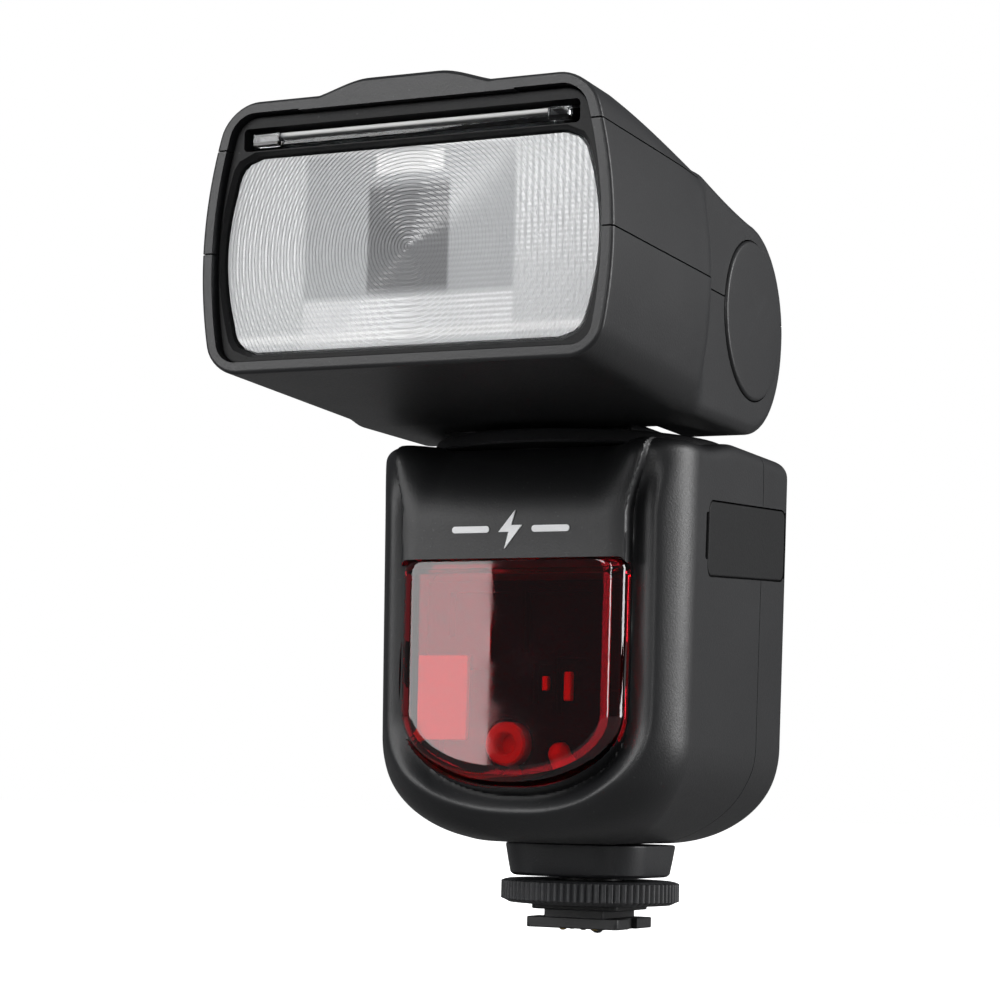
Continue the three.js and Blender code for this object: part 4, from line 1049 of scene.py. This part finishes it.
CARRIED = {
    "screen_window": "screen", "screen_module": "display", "main_board": "board", "capacitor": "sleeve",
    "battery_pack": "dark", "battery_contacts": "gold", "sync_jack": "steel", "usb_port": "steel",
    "retaining_ring": "steel", "tilt_shaft": "steel", "detent_plate": "steel", "zoom_motor": "steel",
    "lead_screw": "steel", "guide_rod_1": "steel", "guide_rod_2": "steel", "reflector": "mirror",
    "flash_tube": "clear", "zoom_carriage": "dark",
}


def dress_carried():
    for name, look in CARRIED.items():
        node = frame["nodes"][name]
        node.data.materials.clear()
        node.data.materials.append(FINISH[look])


# ---------------------------------------------------------------- stage

def soft_box(name, at, aim, wide, tall, power):
    lamp = bpy.data.lights.new(name, "AREA")
    lamp.shape = "RECTANGLE"
    lamp.size, lamp.size_y = wide, tall
    lamp.energy = power
    holder = bpy.data.objects.new(name, lamp)
    bpy.context.scene.collection.objects.link(holder)
    holder.location = at
    holder.rotation_euler = (Vector(aim) - Vector(at)).to_track_quat("-Z", "Y").to_euler()
    return holder


def build_camera():
    settings = bpy.context.scene.flash_stage
    right = Vector((0.90796, 0.41835, 0.02442)).normalized()
    forward = Vector((-0.41835, 0.90149, 0.1109)).normalized()
    up = right.cross(forward).normalized()
    data = bpy.data.cameras.new("camera")
    data.sensor_width = 36.0
    data.lens = settings.focal_length
    data.clip_start = 0.01
    camera = bpy.data.objects.new("camera", data)
    bpy.context.scene.collection.objects.link(camera)
    turn = Matrix((right, up, -forward)).transposed().to_4x4()
    camera.matrix_world = Matrix.Translation(Vector((0.19711, -0.46972, 0.02424))) @ turn
    bpy.context.scene.camera = camera


def camera_sees(tree, seen, lights, output):
    """One shader for the camera, another for the light it gives the object."""
    blend = tree.nodes.new("ShaderNodeMixShader")
    tree.links.new(tree.nodes.new("ShaderNodeLightPath").outputs["Is Camera Ray"], blend.inputs[0])
    tree.links.new(lights.outputs[0], blend.inputs[1])
    tree.links.new(seen.outputs[0], blend.inputs[2])
    tree.links.new(blend.outputs[0], tree.nodes[output].inputs["Surface"])


def build_stage():
    settings = bpy.context.scene.flash_stage
    bpy.context.scene.view_settings.view_transform = "Standard"
    far, level = 3000, -1.8
    corners = [(x, y, level) for x, y in ((-far, -far), (far, -far), (far, far), (-far, far))]
    floor = mesh_object("floor", corners, [(0, 1, 2, 3)])
    pale = bpy.data.materials.new("pale_floor")
    pale.use_nodes = True
    tree = pale.node_tree
    seen = tree.nodes["Principled BSDF"]
    dim = tree.nodes.new("ShaderNodeBsdfPrincipled")
    for shader, tone in ((seen, 0.93), (dim, settings.floor_tone)):
        shader.inputs["Base Color"].default_value = (tone, tone, tone, 1)
        shader.inputs["Roughness"].default_value = 0.9
        shader.inputs["Specular IOR Level"].default_value = 0.0
    seen.inputs["Emission Color"].default_value = (1, 1, 1, 1)
    seen.inputs["Emission Strength"].default_value = settings.floor_glow
    camera_sees(tree, seen, dim, "Material Output")
    floor.data.materials.append(pale)
    world = bpy.data.worlds.new("pale_room")
    bpy.context.scene.world = world
    world.use_nodes = True
    tree = world.node_tree
    back = tree.nodes["Background"]
    seen = tree.nodes.new("ShaderNodeBackground")
    seen.inputs["Color"].default_value = (1, 1, 1, 1)
    seen.inputs["Strength"].default_value = 1.0
    back.inputs["Color"].default_value = (0.93, 0.95, 1.0, 1)
    back.inputs["Strength"].default_value = settings.room_light
    camera_sees(tree, seen, back, "World Output")
    soft_box("left_box", (-0.816, -1.05, 0.52), (-0.25, 0, 0.52), 0.62, 1.0, settings.left_power)
    soft_box("right_box", (1.1, 0.5, 0.5), (0, 0, 0.5), 0.5, 1.1, settings.right_power)
    soft_box("front_box", (-0.2, -1.3, 0.8), (0, 0, 0.07), 0.6, 0.6, settings.front_power)
    soft_box("side_box", (0.62, -1.15, 0.45), (0.06, 0, 0.45), 0.13, 1.0, settings.side_power)
    soft_box("top_box", (0.2, -0.1, 1.3), (0, 0, 0.1), 0.9, 0.9, settings.top_power)


# ---------------------------------------------------------------- add-on

def number(name, text, value, **limits):
    return FloatProperty(name=name, description=text, default=value, **limits)


class FlashSizes(bpy.types.PropertyGroup):
    edge: number("Edge radius", "Radius of the small moulded edges, in millimetres", 0.35, min=0.1, max=0.45)
    lens_pitch: number("Lens ring pitch", "Distance between the lens rings, in millimetres", 0.62,
                       min=0.5, max=1.5)
    collar_half: number("Collar half width", "Half width of the shoe collar, in millimetres", 14.2,
                        min=13.0, max=15.0)


def colour(name, text, value):
    return FloatVectorProperty(name=name, description=text, default=value, subtype="COLOR", size=3,
                               min=0.0, max=1.0)


class FlashColours(bpy.types.PropertyGroup):
    case: colour("Case", "Colour of the moulded case", (0.0068, 0.0070, 0.0078))
    rubber: colour("Rubber", "Colour of the rubber keys and the port flap", (0.021, 0.022, 0.024))
    window: colour("Red window", "Colour of the clear focus window", (0.72, 0.015, 0.03))
    signal: colour("Red parts", "Colour of the focus ring, lamp and plates", (0.85, 0.02, 0.018))
    card: colour("Card", "Colour of the bounce card", (0.88, 0.88, 0.87))
    mark: colour("Printed mark", "Colour of the printed marks", (0.92, 0.93, 0.94))


class FlashStage(bpy.types.PropertyGroup):
    focal_length: number("Focal length", "Camera focal length on a 36 mm sensor", 95.5)
    room_light: number("Room light", "Strength of the even room light", 0.13)
    floor_glow: number("Floor glow", "Brightness added to the pale floor", 1.0)
    floor_tone: number("Floor bounce", "How pale the floor is to bounced light", 0.3)
    left_power: number("Left box", "Power of the left soft box", 11.0, unit="POWER")
    right_power: number("Right box", "Power of the right soft box", 20.0, unit="POWER")
    front_power: number("Front box", "Power of the front soft box", 10.0, unit="POWER")
    side_power: number("Side box", "Power of the narrow side box", 5.0, unit="POWER")
    top_power: number("Top box", "Power of the top soft box", 1.5, unit="POWER")


def operator(suffix, label, doc, steps):
    def execute(self, context):
        for step in steps:
            step()
        return {"FINISHED"}

    return type(f"FLASH_OT_{suffix}", (bpy.types.Operator,),
                {"bl_idname": f"flash.{suffix}", "bl_label": label, "__doc__": doc, "execute": execute})


def prepare_finishes():
    FINISH.update(make_finishes())


OPERATORS = [
    operator("finishes", "Finishes", "Makes every finish", [prepare_finishes]),
    operator("head_shells", "Head shells", "Builds the head's lower and upper shells and top cover",
             [build_head_shells]),
    operator("head_front", "Head front", "Builds the front frame, lens, panels and bounce card",
             [build_front_frame, build_lens, build_panels]),
    operator("head_trim", "Head trim", "Builds the tilt covers and head screws",
             [build_tilt_covers, build_head_screws]),
    operator("neck", "Neck", "Builds the turntable and the barrel covers", [build_neck]),
    operator("body_shells", "Body shells", "Builds the front and rear shells", [build_body_shells]),
    operator("body_front", "Body front", "Builds the red window, what is behind it and the panel mark",
             [build_window, build_focus_parts, build_mark]),
    operator("side_covers", "Side covers", "Builds the port flap and the battery door", [build_side_covers]),
    operator("controls", "Controls", "Builds the keys, dial, set button and power switch",
             [build_keys, build_dial, build_power_switch]),
    operator("shoe", "Shoe", "Builds the collar, lock ring, foot, contacts and pin",
             [build_collar, build_lock_ring, build_foot]),
    operator("carried", "Inner pieces", "Gives the carried CAD nodes their finishes", [dress_carried]),
    operator("stage", "Stage", "Builds the floor, lights and camera", [build_stage, build_camera]),
]


class FLASH_PT_panel(bpy.types.Panel):
    bl_label = "Flash"
    bl_idname = "FLASH_PT_panel"
    bl_space_type = "VIEW_3D"
    bl_region_type = "UI"
    bl_category = "Flash"

    def draw(self, context):
        for kind in OPERATORS:
            self.layout.operator(kind.bl_idname)
        scene = context.scene
        for settings, kind in ((scene.flash_sizes, FlashSizes), (scene.flash_colours, FlashColours),
                               (scene.flash_stage, FlashStage)):
            for key in kind.__annotations__:
                self.layout.prop(settings, key)


CLASSES = [FlashSizes, FlashColours, FlashStage, *OPERATORS, FLASH_PT_panel]


def register():
    for kind in CLASSES:
        bpy.utils.register_class(kind)
    bpy.types.Scene.flash_sizes = PointerProperty(type=FlashSizes)
    bpy.types.Scene.flash_colours = PointerProperty(type=FlashColours)
    bpy.types.Scene.flash_stage = PointerProperty(type=FlashStage)


def unregister():
    del bpy.types.Scene.flash_stage
    del bpy.types.Scene.flash_colours
    del bpy.types.Scene.flash_sizes
    for kind in reversed(CLASSES):
        bpy.utils.unregister_class(kind)


def main():
    register()
    for kind in OPERATORS:
        group, name = kind.bl_idname.split(".")
        if getattr(getattr(bpy.ops, group), name)() != {"FINISHED"}:
            raise RuntimeError(f"{kind.bl_label} did not finish")


if __name__ == "__main__":
    main()
